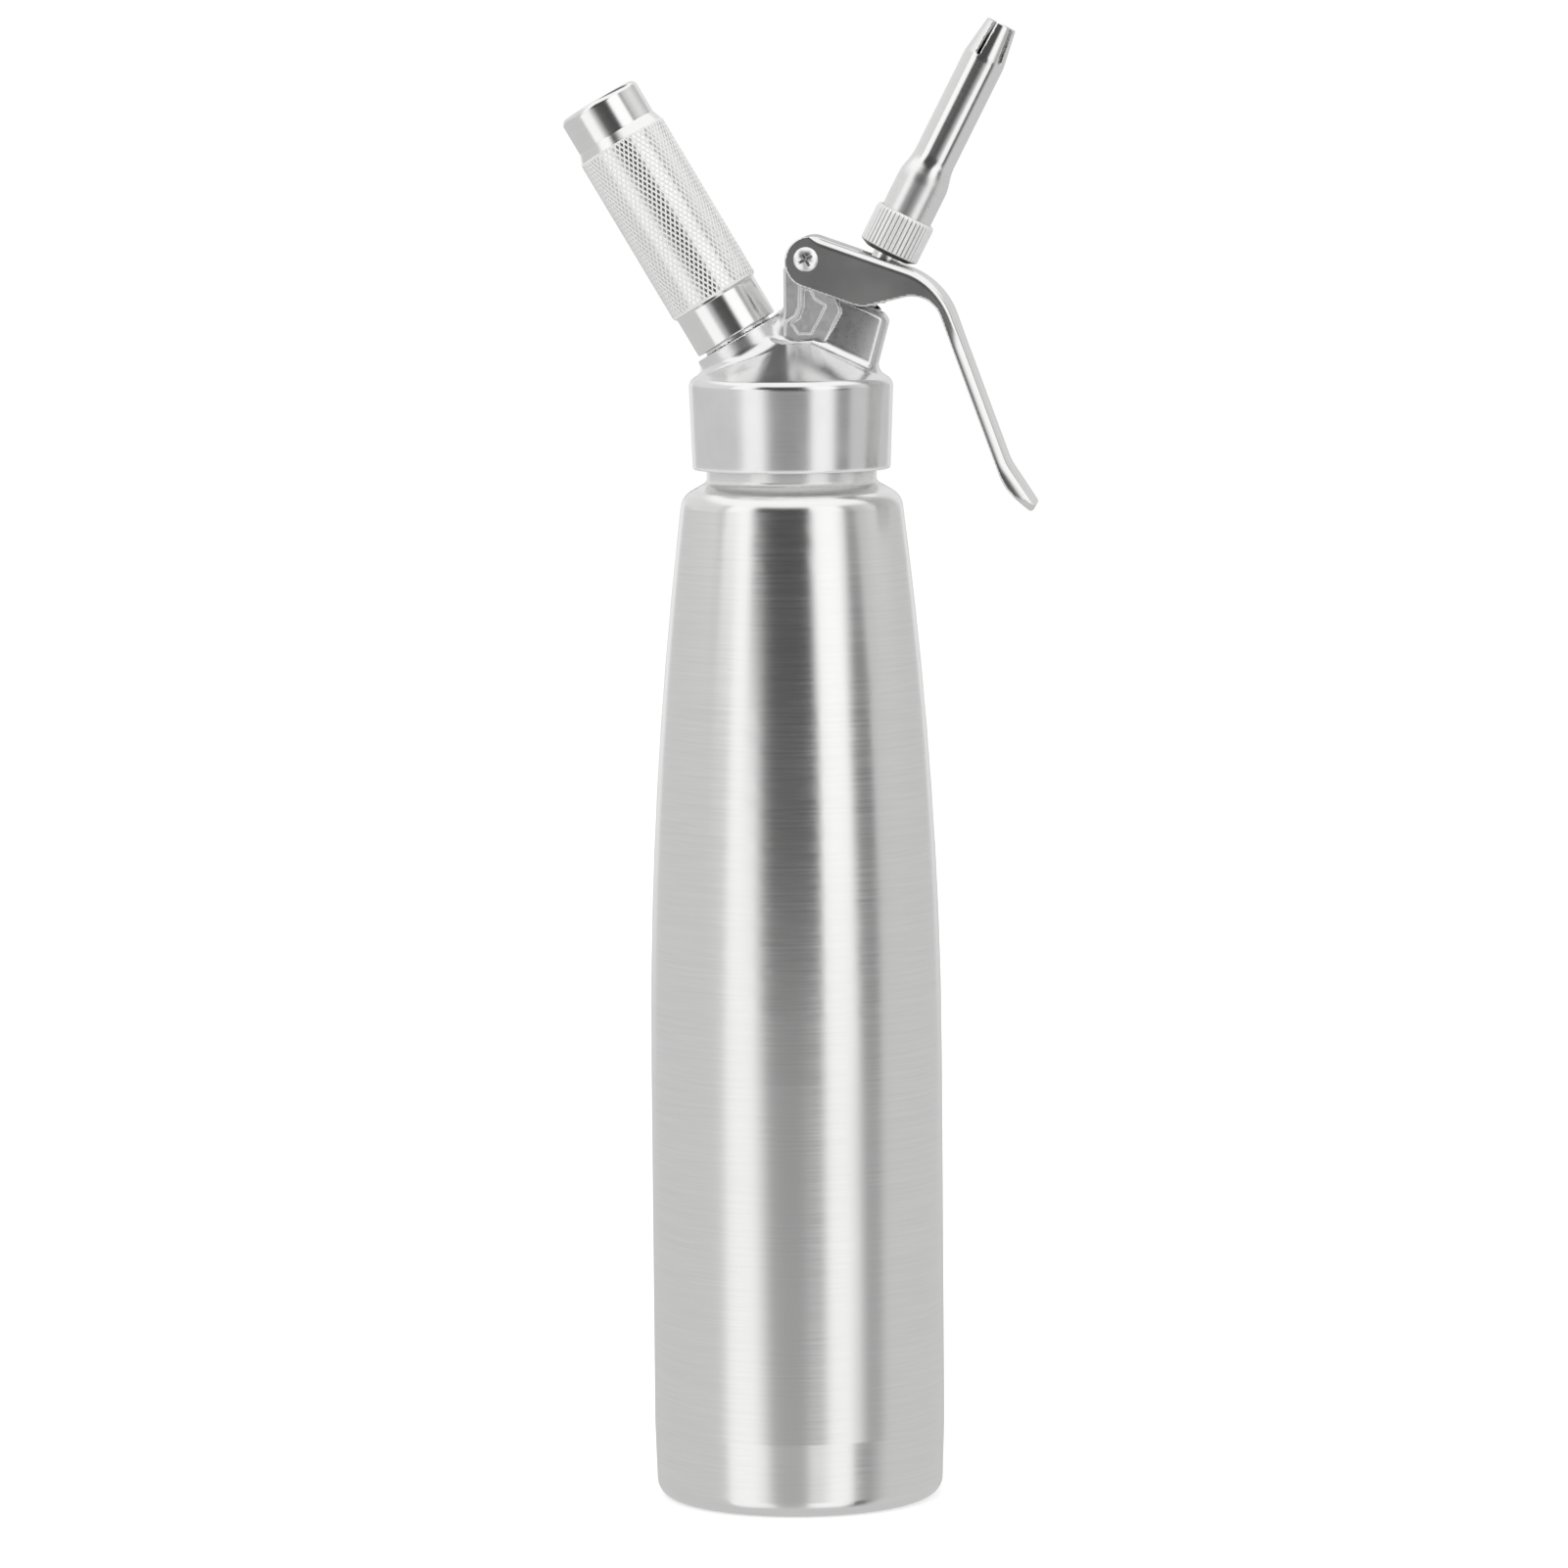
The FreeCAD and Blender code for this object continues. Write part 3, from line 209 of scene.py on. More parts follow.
def field_mesh(name, field, low, high, voxel):
    """A quad mesh of a field's surface, drawn onto it, with the field's own normals."""
    low = np.array(low, float)
    count = np.ceil((np.array(high) - low) / voxel).astype(int) + 1
    x, y, z = (low[i] + voxel * np.arange(count[i]) for i in range(3))
    values = field(x[:, None, None], y[None, :, None], z[None, None, :])
    grid = openvdb.FloatGrid()
    grid.copyFromArray(np.ascontiguousarray(values, np.float32))
    grid.transform = openvdb.createLinearTransform(voxelSize=voxel)
    points, quads = grid.convertToQuads(0.0)[:2]
    points = points.astype(float) + low
    for _ in range(2):
        slope = gradient(field, points, voxel / 20)
        steepness = np.maximum((slope ** 2).sum(1), 0.05)
        shift = slope * (field(*points.T) / steepness)[:, None]
        points = points - np.clip(shift, -voxel / 2, voxel / 2)
    normals = gradient(field, points, voxel / 20)
    normals /= np.maximum(np.linalg.norm(normals, axis=1), 1e-6)[:, None]
    corners = points[quads[:, :3]]
    faces = np.cross(corners[:, 1] - corners[:, 0], corners[:, 2] - corners[:, 0])
    if (faces * normals[quads[:, 0]]).sum() < 0:
        quads = quads[:, ::-1]
    return add_mesh(name, points, quads, normals), points


def add_mesh(name, points, faces, normals=None):
    """An object from points in millimetres, shaded smooth, or by a normal for each point."""
    mesh = bpy.data.meshes.new(name)
    mesh.from_pydata((np.asarray(points) * MM).tolist(), [], [list(face) for face in faces])
    mesh.shade_smooth()
    if normals is not None:
        mesh.normals_split_custom_set_from_vertices(np.asarray(normals).tolist())
    piece = bpy.data.objects.new(name, mesh)
    bpy.context.scene.collection.objects.link(piece)
    return piece


def add_attribute(piece, name, values):
    """A value for each point, for a material to read."""
    attribute = piece.data.attributes.new(name, "FLOAT", "POINT")
    attribute.data.foreach_set("value", np.asarray(values, np.float32))


def cad_room(node):
    """The corners in millimetres of a node's CAD box, with 1 mm to spare all round."""
    low, high = (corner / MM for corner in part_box(node))
    margin = Vector((1, 1, 1))
    return low - margin, high + margin


def turned(name, rows, segments):
    """A closed outline turned round the local Z axis."""
    rows = np.vstack([rows, rows[:1]])
    angles = np.linspace(0, 2 * math.pi, segments, endpoint=False)
    ring = np.stack([np.cos(angles), np.sin(angles)], axis=1)
    points = np.concatenate([rows[:, None, :1] * ring, np.broadcast_to(
        rows[:, None, 1:2], (len(rows), segments, 1))], axis=2)
    normals = np.concatenate([rows[:, None, 2:3] * ring, np.broadcast_to(
        rows[:, None, 3:4], (len(rows), segments, 1))], axis=2)
    faces = []
    for i in range(len(rows) - 1):
        if np.hypot(*(rows[i + 1, :2] - rows[i, :2])) < 1e-6:
            continue
        for j in range(segments):
            after = (j + 1) % segments
            faces.append((i * segments + j, i * segments + after,
                          (i + 1) * segments + after, (i + 1) * segments + j))
    return add_mesh(name, points.reshape(-1, 3), faces, normals.reshape(-1, 3))


def dress(piece, body, slot, material, *nodes, seat=None):
    """Seats a finished piece, hangs it on its body and lets it stand for its CAD nodes."""
    if seat:
        piece.data.transform(seat.matrix())
    piece.data.materials.append(material)
    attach(piece, body)
    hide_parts(*nodes)


# ---------------------------------------------------------------- materials


def light(grey):
    """A display grey from 0 to 1 as a linear value."""
    return grey / 12.92 if grey <= 0.04045 else ((grey + 0.055) / 1.055) ** 2.4


def add_node(tree, kind, inputs=None, **settings):
    """A shader node; an input is a constant, or a socket that is linked to it."""
    node = tree.nodes.new("ShaderNode" + kind)
    for key, value in settings.items():
        setattr(node, key, value)
    for key, value in (inputs or {}).items():
        if isinstance(value, bpy.types.NodeSocket):
            tree.links.new(value, node.inputs[key])
        else:
            node.inputs[key].default_value = value
    return node


def calculate(tree, operation, *values):
    return add_node(tree, "Math", dict(enumerate(values)), operation=operation).outputs[0]


def blend(tree, factor, first, second):
    return add_node(tree, "Mix", {0: factor, 2: first, 3: second}, data_type="FLOAT").outputs[0]


def rescale(tree, value, low, high, to_low=0.0, to_high=1.0, smooth=True):
    """A value's range from low to high mapped to another, and held at its ends."""
    return add_node(tree, "MapRange", {"Value": value, "From Min": low, "From Max": high,
                                       "To Min": to_low, "To Max": to_high},
                    interpolation_type="SMOOTHSTEP" if smooth else "LINEAR").outputs["Result"]


def seat_place(tree, seat):
    """The place in metres, turned back about the seat's foot so that its axis stands upright."""
    place = add_node(tree, "TexCoord").outputs["Object"]
    return add_node(tree, "VectorRotate", {"Vector": place, "Center": seat.foot * MM,
                                           "Axis": (0, 1, 0), "Angle": -seat.tilt()}
                    ).outputs["Vector"]


def stretched_noise(tree, scale, detail, seed, seat=None):
    """Noise in metres with a scale for each axis, which are the seat's own where there is one."""
    place = seat_place(tree, seat) if seat else add_node(tree, "TexCoord").outputs["Object"]
    placed = add_node(tree, "Mapping", {"Vector": place, "Scale": scale,
                                        "Location": (seed, seed * 1.7, seed * 0.6)})
    return add_node(tree, "TexNoise", {"Vector": placed.outputs["Vector"], "Scale": 1.0,
                                       "Detail": detail, "Roughness": 0.5}).outputs["Fac"]


def even_noise(tree, scale, detail, seed):
    return stretched_noise(tree, (scale,) * 3, detail, seed)


def blank_material(name):
    material = bpy.data.materials.new(name)
    material.use_nodes = True
    tree = material.node_tree
    shader = tree.nodes["Principled BSDF"]
    return material, tree, shader


def bumps(tree, shader, *layers):
    """Height layers as (value, height in millimetres)."""
    normal = None
    for value, height in layers:
        inputs = {"Height": value, "Distance": height * MM, "Strength": 1.0}
        if normal is not None:
            inputs["Normal"] = normal
        normal = add_node(tree, "Bump", inputs).outputs["Normal"]
    tree.links.new(normal, shader.inputs["Normal"])


def tint(tree, shader, colour, share, value):
    """The base colour, varied by a value round 0.5."""
    factor = rescale(tree, value, 0.25, 0.75, 1 - share, 1 + share, smooth=False)
    scaled = add_node(tree, "VectorMath", {0: colour, "Scale": factor}, operation="SCALE")
    tree.links.new(scaled.outputs[0], shader.inputs["Base Color"])


def turned_metal(name, colour, roughness, line, depth, wear=0.03, seat=None, rough_foot=None):
    """Metal finished with fine lines round its own axis; line and depth are their width and
    height in millimetres. A rough foot is the level along the seat up to which the finish is
    duller, and its roughness."""
    material, tree, shader = blank_material(name)
    shader.inputs["Metallic"].default_value = 1.0
    if not seat:
        shader.inputs["Anisotropic"].default_value = 0.45
        shader.inputs["Anisotropic Rotation"].default_value = 0.25
        tangent = add_node(tree, "Tangent", direction_type="RADIAL", axis="Z")
        tree.links.new(tangent.outputs["Tangent"], shader.inputs["Tangent"])
    fine = stretched_noise(tree, (80, 80, 1 / (line * MM)), 2.0, 3.0, seat)
    broad = stretched_noise(tree, (45, 45, 0.22 / (line * MM)), 3.0, 11.0, seat)
    cloud = even_noise(tree, 30, 2.0, 5.0)
    tint(tree, shader, colour, wear, broad)
    mixed = calculate(tree, "ADD", calculate(tree, "MULTIPLY", broad, 0.6),
                      calculate(tree, "MULTIPLY", cloud, 0.4))
    finish = rescale(tree, mixed, 0.3, 0.7, roughness * 0.85, roughness * 1.2, False)
    if rough_foot:
        level, dull = rough_foot
        placed = add_node(tree, "Mapping", {"Vector": seat_place(tree, seat),
                                            "Location": -seat.foot * MM})
        along = add_node(tree, "SeparateXYZ", {0: placed.outputs["Vector"]}).outputs["Z"]
        finish = blend(tree, rescale(tree, along, (level + 2) * MM, (level - 2) * MM), finish, dull)
    tree.links.new(finish, shader.inputs["Roughness"])
    bumps(tree, shader, (broad, depth * 2.5), (fine, depth))
    return material


NECK_LEVEL = 271.5


def bottle_metal(name, colour):
    """The bottle's steel, with a paler drawn neck below the head."""
    material = turned_metal(name, colour, 0.21, 0.15, 0.0022)
    tree = material.node_tree
    place = add_node(tree, "TexCoord").outputs["Object"]
    level = add_node(tree, "SeparateXYZ", {0: place}).outputs["Z"]
    tree.links.new(rescale(tree, level, (NECK_LEVEL - 1) * MM, (NECK_LEVEL + 1) * MM, 1.0, 0.45),
                   tree.nodes["Principled BSDF"].inputs["Metallic"])
    return material


def satin_metal(name, colour, roughness, grain, depth, wear=0.04):
    """Metal with an even satin or blasted surface; grain and depth are in millimetres."""
    material, tree, shader = blank_material(name)
    shader.inputs["Metallic"].default_value = 1.0
    fine = even_noise(tree, 1 / (grain * MM), 3.0, 7.0)
    cloud = even_noise(tree, 60, 3.0, 2.0)
    tint(tree, shader, colour, wear, cloud)
    tree.links.new(rescale(tree, cloud, 0.3, 0.7, roughness * 0.85, roughness * 1.2, False),
                   shader.inputs["Roughness"])
    bumps(tree, shader, (fine, depth))
    return material


def dull_plastic(name, colour, roughness, grain=0.3, depth=0.006, wear=0.06, subsurface=0.0):
    """Rubber, silicone or acetal with a fine moulded grain, in millimetres."""
    material, tree, shader = blank_material(name)
    fine = even_noise(tree, 1 / (grain * MM), 3.0, 4.0)
    cloud = even_noise(tree, 120, 3.0, 9.0)
    tint(tree, shader, colour, wear, cloud)
    shader.inputs["Subsurface Weight"].default_value = subsurface
    tree.links.new(rescale(tree, cloud, 0.3, 0.7, roughness * 0.85, roughness * 1.15, False),
                   shader.inputs["Roughness"])
    bumps(tree, shader, (fine, depth))
    return material


def head_metal(name, colour):
    """The head: turned lines where the attribute cast is 0, a blasted skin where it is 1, and a
    dull rim where the attribute socket is 1."""
    material, tree, shader = blank_material(name)
    rim = add_node(tree, "Attribute", attribute_name="socket").outputs["Fac"]
    tree.links.new(rescale(tree, rim, 0.0, 1.0, 1.0, 0.2, False), shader.inputs["Metallic"])
    cast = add_node(tree, "Attribute", attribute_name="cast").outputs["Fac"]
    lines = stretched_noise(tree, (60, 60, 6500), 2.0, 3.0)
    broad = stretched_noise(tree, (40, 40, 1500), 2.0, 8.0)
    grain = even_noise(tree, 2600, 3.0, 1.0)
    pits = even_noise(tree, 700, 2.0, 6.0)
    cloud = even_noise(tree, 90, 3.0, 2.0)
    tint(tree, shader, colour, 0.05, cloud)
    smooth = rescale(tree, cloud, 0.3, 0.7, 0.17, 0.23, False)
    rough = rescale(tree, pits, 0.3, 0.7, 0.36, 0.46, False)
    tree.links.new(blend(tree, cast, smooth, rough), shader.inputs["Roughness"])
    turned_share = calculate(tree, "SUBTRACT", 1.0, cast)
    blasted = rescale(tree, cast, 0.5, 1.0, 0.0, 1.0)
    bumps(tree, shader,
          (calculate(tree, "MULTIPLY", broad, turned_share), 0.005),
          (calculate(tree, "MULTIPLY", lines, turned_share), 0.002),
          (calculate(tree, "MULTIPLY", pits, blasted), 0.007),
          (calculate(tree, "MULTIPLY", grain, blasted), 0.005))
    return material


# ---------------------------------------------------------------- head casting

COLLAR_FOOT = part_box("dispenser_head")[0].z / MM
COLLAR_TOP = 299.9
COLLAR_LOW_R = 26.3
COLLAR_R = 27.2
DOME_SLOPE = math.radians(32)
CROWN_LEVEL = 310.0
SOCKET_R = 23.65
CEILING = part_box("head_gasket")[1].z / MM
VAULT_R = 19.5
VAULT_LEVEL = CEILING + 3
CHARGER_BOSS_R = 12.6
VALVE_BOSS_R = 8.3
VALVE_FLARE = math.radians(12)
VALVE_TOP = 1.1
FACE_HALF = 8.0
FACE_ROUND = 45.0
POST_HALF = 7.5
LOBE_HALF = 8.6
RECESS_DEPTH = 1.1
SEAT_BOSS_R = 7.0
STUD_R = 9.6
PIVOT_BORE_R = 2.95
CHECK_X = -10.0
# Drilled holes as radius, start and end, in millimetres along the valve, the charger and Z.
VALVE_HOLES = ((4.6, -40, -23), (3.65, -40, 0), (5.41, -14, -12), (6.0, -12, 9))
CHARGER_HOLES = ((1.0, -7.5, 0), (3.2, -5, 1), (4.8, 0, 20))
CHECK_HOLES = ((2.5, 290, VAULT_LEVEL + 4), (1.0, 290, 304.9))


def collar_field(x, y, z):
    around = np.hypot(x, y)
    rise, lean = COLLAR_TOP - COLLAR_FOOT, COLLAR_R - COLLAR_LOW_R
    side = ((around - COLLAR_LOW_R) * rise - (z - COLLAR_FOOT) * lean) / math.hypot(rise, lean)
    dome = (z - COLLAR_TOP) * math.cos(DOME_SLOPE) + (around - COLLAR_R) * math.sin(DOME_SLOPE)
    solid = overlap(side, dome, 1.3)
    return overlap(np.maximum(solid, z - CROWN_LEVEL), COLLAR_FOOT - z, 0.6)


def charger_boss_field(x, y, z):
    along = CHARGER.along(x, z)
    around = np.hypot(CHARGER.across(x, z), y)
    return overlap(np.maximum(around - CHARGER_BOSS_R, -16 - along), along, 0.35)


def valve_boss_field(x, y, z):
    """A boss with flaring flanks, gently rounded faces towards both sides and soft corners."""
    along, across = VALVE.along(x, z), VALVE.across(x, z)
    flank = (np.abs(across) - VALVE_BOSS_R) * math.cos(VALVE_FLARE) + along * math.sin(VALVE_FLARE)
    face = np.hypot(across, np.abs(y) + FACE_ROUND - FACE_HALF) - FACE_ROUND + 0.04 * along
    section = overlap(flank, face, 2.2)
    chamfer = math.atan2(1.1, 1.7)
    bevel = section * math.sin(chamfer) + along * math.cos(chamfer)
    solid = overlap(section, bevel, 0.5)
    return overlap(np.maximum(solid, -18 - along), along - VALVE_TOP, 0.2)


POST_TOP_R = 4.3
POST_BACK_X = -1.3
POST_OUTLINE = (
    [(POST_BACK_X, 303.0), (13.6, 303.0), (9.6, PIVOT_Z)]
    + arc((PIVOT_X, PIVOT_Z), POST_TOP_R, 0, 90)
    + arc_between((PIVOT_X, PIVOT_Z + POST_TOP_R), (POST_BACK_X, 329.8), 8.6)
)
LOBE_OUTLINE = [row[:2] for row in outline(
    (3.2, PIVOT_Z), (3.0, 319.8, 2.0), (1.9, 317.4, 1.0), (-0.8, 315.6, 0.5), (-1.0, 310.7, 0.4),
    (9.6, 310.3, 1.5), (14.0, 318.4, 1.6), (8.6, PIVOT_Z))]
RECESS_OUTLINE = [row[:2] for row in outline(
    (4.1, 324.6, 0.5), (5.8, 324.4, 0.6), (7.1, 321.8, 1.5), (10.0, 319.9, 0.5), (6.1, 312.5, 0.6),
    (2.6, 312.5, 0.5), (0.7, 315.4, 0.5), (2.8, 316.9, 0.8), (3.8, 319.6, 2.0))]


def post_core_field(x, y, z):
    return overlap(outline_distance(x, z, POST_OUTLINE), np.abs(y) - POST_HALF, 0.8)


def lobe_field(x, y, z):
    """The raised faces beside the lever's cheeks."""
    circle = np.hypot(x - PIVOT_X, z - PIVOT_Z) - POST_TOP_R
    return overlap(np.minimum(outline_distance(x, z, LOBE_OUTLINE), circle),
                   np.abs(y) - LOBE_HALF, 0.45)


def pocket_field(x, y, z):
    return overlap(outline_distance(x, z, RECESS_OUTLINE),
                   LOBE_HALF - RECESS_DEPTH - np.abs(y), 0.35)


def ridge_field(around, y, across, along, root, ridge, pitch, start, end):
    """A helical ridge of trapezium section on a turned stud."""
    turn = np.arctan2(y, across) / (2 * math.pi)
    phase = (along - start) / pitch - turn
    share = np.abs(phase - np.round(phase)) * pitch
    crest = np.clip((0.32 * pitch - share) / (0.22 * pitch), 0, 1) * ridge
    fade = smooth_step(along, start - 0.2, start + 0.3) * smooth_step(-along, -end - 0.2, -end)
    return (around - root - crest * fade) * 0.8


def head_field(x, y, z):
    """The whole casting, with its socket, its vault, its drilled holes and the charger's stud."""
    upper = union(valve_boss_field(x, y, z), post_core_field(x, y, z), 1.2)
    upper = union(upper, charger_boss_field(x, y, z), 4.0)
    solid = union(collar_field(x, y, z), upper, 2.2)
    solid = union(solid, lobe_field(x, y, z), 0.45)
    solid = cut(solid, pocket_field(x, y, z), 0.3)
    around = np.hypot(x, y)
    solid = cut(solid, np.maximum(around - SOCKET_R, z - CEILING), 0.3)
    solid = cut(solid, np.maximum(around - VAULT_R, z - VAULT_LEVEL), 0.3)
    along, across = VALVE.along(x, z), VALVE.across(x, z)
    around_valve = np.hypot(across, y)
    seat_boss = np.maximum(around_valve - SEAT_BOSS_R, slab(along, -29.0, -15.0))
    solid = union(solid, seat_boss, 0.6)
    for radius, low, high in VALVE_HOLES:
        solid = cut(solid, np.maximum(around_valve - radius, slab(along, low, high)), 0.15)
    along, across = CHARGER.along(x, z), CHARGER.across(x, z)
    around_stud = np.hypot(across, y)
    stud = overlap(around_stud - STUD_R, slab(along, -2.0, 9.0), 0.4)
    ridge = ridge_field(around_stud, y, across, along, root=STUD_R, ridge=0.6, pitch=1.75,
                        start=2.2, end=7.4)
    solid = np.minimum(solid, stud)
    solid = np.minimum(solid, np.maximum(ridge, slab(along, 1.5, 8.6)))
    for radius, low, high in CHARGER_HOLES:
        solid = cut(solid, np.maximum(around_stud - radius, slab(along, low, high)), 0.1)
    around_check = np.hypot(x - CHECK_X, y)
    for radius, low, high in CHECK_HOLES:
        solid = cut(solid, np.maximum(around_check - radius, slab(z, low, high)), 0.1)
    bore = np.hypot(x - PIVOT_X, z - PIVOT_Z) - PIVOT_BORE_R
    return cut(solid, bore, 0.2)


def make_head():
    piece, points = field_mesh("head_casting", head_field, *cad_room("dispenser_head"), 0.45)
    x, y, z = points.T
    bosses = np.minimum(charger_boss_field(x, y, z), valve_boss_field(x, y, z))
    post = np.minimum(post_core_field(x, y, z), lobe_field(x, y, z))
    cast = smooth_step(collar_field(x, y, z) - np.minimum(bosses, post), 0.0, 2.0)
    cast *= 0.35 + 0.65 * smooth_step(bosses - post, -0.3, 0.5)
    socket = smooth_step(-z, -COLLAR_FOOT - 1.2, -COLLAR_FOOT - 0.4)
    add_attribute(piece, "cast", cast)
    add_attribute(piece, "socket", socket)
    dress(piece, "head", "head_alloy", head_metal("head_alloy", (0.86, 0.86, 0.86)),
          "dispenser_head")


# ---------------------------------------------------------------- lever

LEVER_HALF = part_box("lever")[1].y / MM
SHEET = 1.8
WEB_SLOPE = math.radians(19.5)
HANDLE_SLOPE = math.radians(20)
CHEEK_SLOPE = math.radians(20)
END = (PIVOT_X + 1.2, PIVOT_Z - 0.75)
END_R = 6.85
WEB_REACH = 34.3
BEND_ROUND = 21.0
BELLY_REACH = 16.7
BELLY_ROUND = 8.5
THROAT_RISE = 4.4
THROAT_ROUND = 8.0
HANDLE_END = 278.0
HANDLE_DEPTH = 3.6
HEEL_RISE = 6.6
FLARE_REACH = 7.1
FLARE_DROP = 11.0
FLARE_ROUND = 15.0
LIP_FOOT = 264.9
LIP_BACK = 1.4
LIP_ROUND = 0.8
LIP_CORNER = 5.0
CHANNEL_FOOT = 272.0
WEB_SLOT_REACH = 18.2
WEB_SLOT_HALF_LENGTH = 5.2
WEB_SLOT_HALF_WIDTH = 4.2
LEVER_BORE_R = 2.92


def lever_outlines():
    """The lever's side view, and the region below its web and behind its handle's face."""
    crest = (END[0] + END_R * math.sin(WEB_SLOPE), END[1] + END_R * math.cos(WEB_SLOPE))
    bend = (crest[0] + WEB_REACH * math.cos(WEB_SLOPE),
            crest[1] - WEB_REACH * math.sin(WEB_SLOPE))
    face_end = bend[0] + (bend[1] - HANDLE_END) * math.tan(HANDLE_SLOPE)
    back_end = face_end - HANDLE_DEPTH / math.cos(HANDLE_SLOPE)
    heel = (back_end + HEEL_RISE * math.tan(HANDLE_SLOPE), HANDLE_END - HEEL_RISE)
    foot = (END[0] - END_R * math.sin(CHEEK_SLOPE), END[1] - END_R * math.cos(CHEEK_SLOPE))
    belly = (foot[0] + BELLY_REACH * math.cos(CHEEK_SLOPE),
             foot[1] - BELLY_REACH * math.sin(CHEEK_SLOPE))
    throat_z = belly[1] + THROAT_RISE
    throat = (back_end - (throat_z - HANDLE_END) * math.tan(HANDLE_SLOPE), throat_z)
    lip = (face_end + FLARE_REACH, HANDLE_END - FLARE_DROP)
    flare = (face_end, HANDLE_END, FLARE_ROUND)
    whole = [row[:2] for row in outline(
        foot, (*belly, BELLY_ROUND), (*throat, THROAT_ROUND), (*heel, FLARE_ROUND),
        (lip[0] - LIP_BACK, LIP_FOOT, LIP_ROUND), (*lip, LIP_ROUND), flare, (*bend, BEND_ROUND),
        crest, END, steps=12)]
    far = 80.0
    before = (crest[0] - far * math.cos(WEB_SLOPE), crest[1] + far * math.sin(WEB_SLOPE))
    beyond = (lip[0] + 0.67 * far, lip[1] - far)
    under = [row[:2] for row in outline(
        before, (before[0], beyond[1]), beyond, flare, (*bend, BEND_ROUND), steps=16)]
    return whole, under


LEVER_WHOLE, LEVER_UNDER = lever_outlines()


def lever_field(x, y, z):
    """The bent sheet: hollow below its web and behind its handle, with the valve's slot."""
    side = np.abs(y)
    whole = np.minimum(outline_distance(x, z, LEVER_WHOLE),
                       np.hypot(x - END[0], z - END[1]) - END_R)
    under = outline_distance(x, z, LEVER_UNDER)
    handle = smooth_step(-z, -322.0, -308.0)
    crown = 0.12 * handle * (y / LEVER_HALF) ** 2
    edge = 0.6 + 1.6 * smooth_step(x, 4.0, 9.0) - 1.2 * handle
    forward = np.clip(under + HANDLE_DEPTH, 0, HANDLE_DEPTH)
    flank = side - LEVER_HALF + handle * (0.12 * forward + 0.06 * forward ** 2)
    solid = np.maximum(overlap(whole, flank, 0.35), overlap(under + crown, flank, edge))
    solid = np.maximum(solid, overlap(side - LEVER_HALF, LIP_FOOT - z, LIP_CORNER))
    channel = overlap(np.maximum(under + SHEET, CHANNEL_FOOT - z), side - (LEVER_HALF - SHEET),
                      1.4)
    solid = cut(solid, channel, 0.25)
    along = (x - PIVOT_X) * math.cos(WEB_SLOPE) - (z - PIVOT_Z) * math.sin(WEB_SLOPE)
    above = (x - PIVOT_X) * math.sin(WEB_SLOPE) + (z - PIVOT_Z) * math.cos(WEB_SLOPE)
    slot = overlap(np.abs(along - WEB_SLOT_REACH) - WEB_SLOT_HALF_LENGTH,
                   side - WEB_SLOT_HALF_WIDTH, 1.0)
    solid = cut(solid, np.maximum(slot, slab(above, 1.0, 10.0)), 0.25)
    hole = np.hypot(x - PIVOT_X, z - PIVOT_Z) - LEVER_BORE_R
    return cut(solid, hole, 0.15)


def make_lever():
    piece, _ = field_mesh("lever_plate", lever_field, *cad_room("lever"), 0.4)
    dress(piece, "lever_arm", "lever_steel",
          satin_metal("lever_steel", (0.86, 0.86, 0.855), 0.2, 0.25, 0.0015, 0.03), "lever")


# ---------------------------------------------------------------- pivot

# A turned outline that closes on its axis stops this far from it.
ON_AXIS = 0.001
SCREW_R = 3.3
SCREW_HEAD = 1.1
SCREW_DOME_R = 6.4
SHANK_R = 1.6
CROSS_TURN = math.radians(28)
CROSS_HALF = 0.42
CROSS_REACH = 2.05
SLEEVE_R = 2.9
SLEEVE_BORE_R = 1.62


def screw_field(x, y, z):
    """Along local Z from the lever's cheek at 0: a pan head above it, the shank below."""
    around = np.hypot(x, y)
    dome = np.sqrt(around ** 2 + (z + SCREW_DOME_R - SCREW_HEAD) ** 2) - SCREW_DOME_R
    head = overlap(overlap(around - SCREW_R, dome, 0.2), -z, 0.1)
    shank = overlap(around - SHANK_R, slab(z, -2 * LEVER_HALF + SCREW_HEAD + 1.1, 0.2), 0.2)
    across = x * math.cos(CROSS_TURN) + y * math.sin(CROSS_TURN)
    along = y * math.cos(CROSS_TURN) - x * math.sin(CROSS_TURN)
    wings = np.minimum(
        np.maximum(np.abs(across) - CROSS_HALF, np.abs(along) - CROSS_REACH),
        np.maximum(np.abs(along) - CROSS_HALF, np.abs(across) - CROSS_REACH))
    cross = np.maximum(wings + 0.25 * (SCREW_HEAD - z), -0.35 - z)
    return cut(np.minimum(head, shank), cross, 0.06)


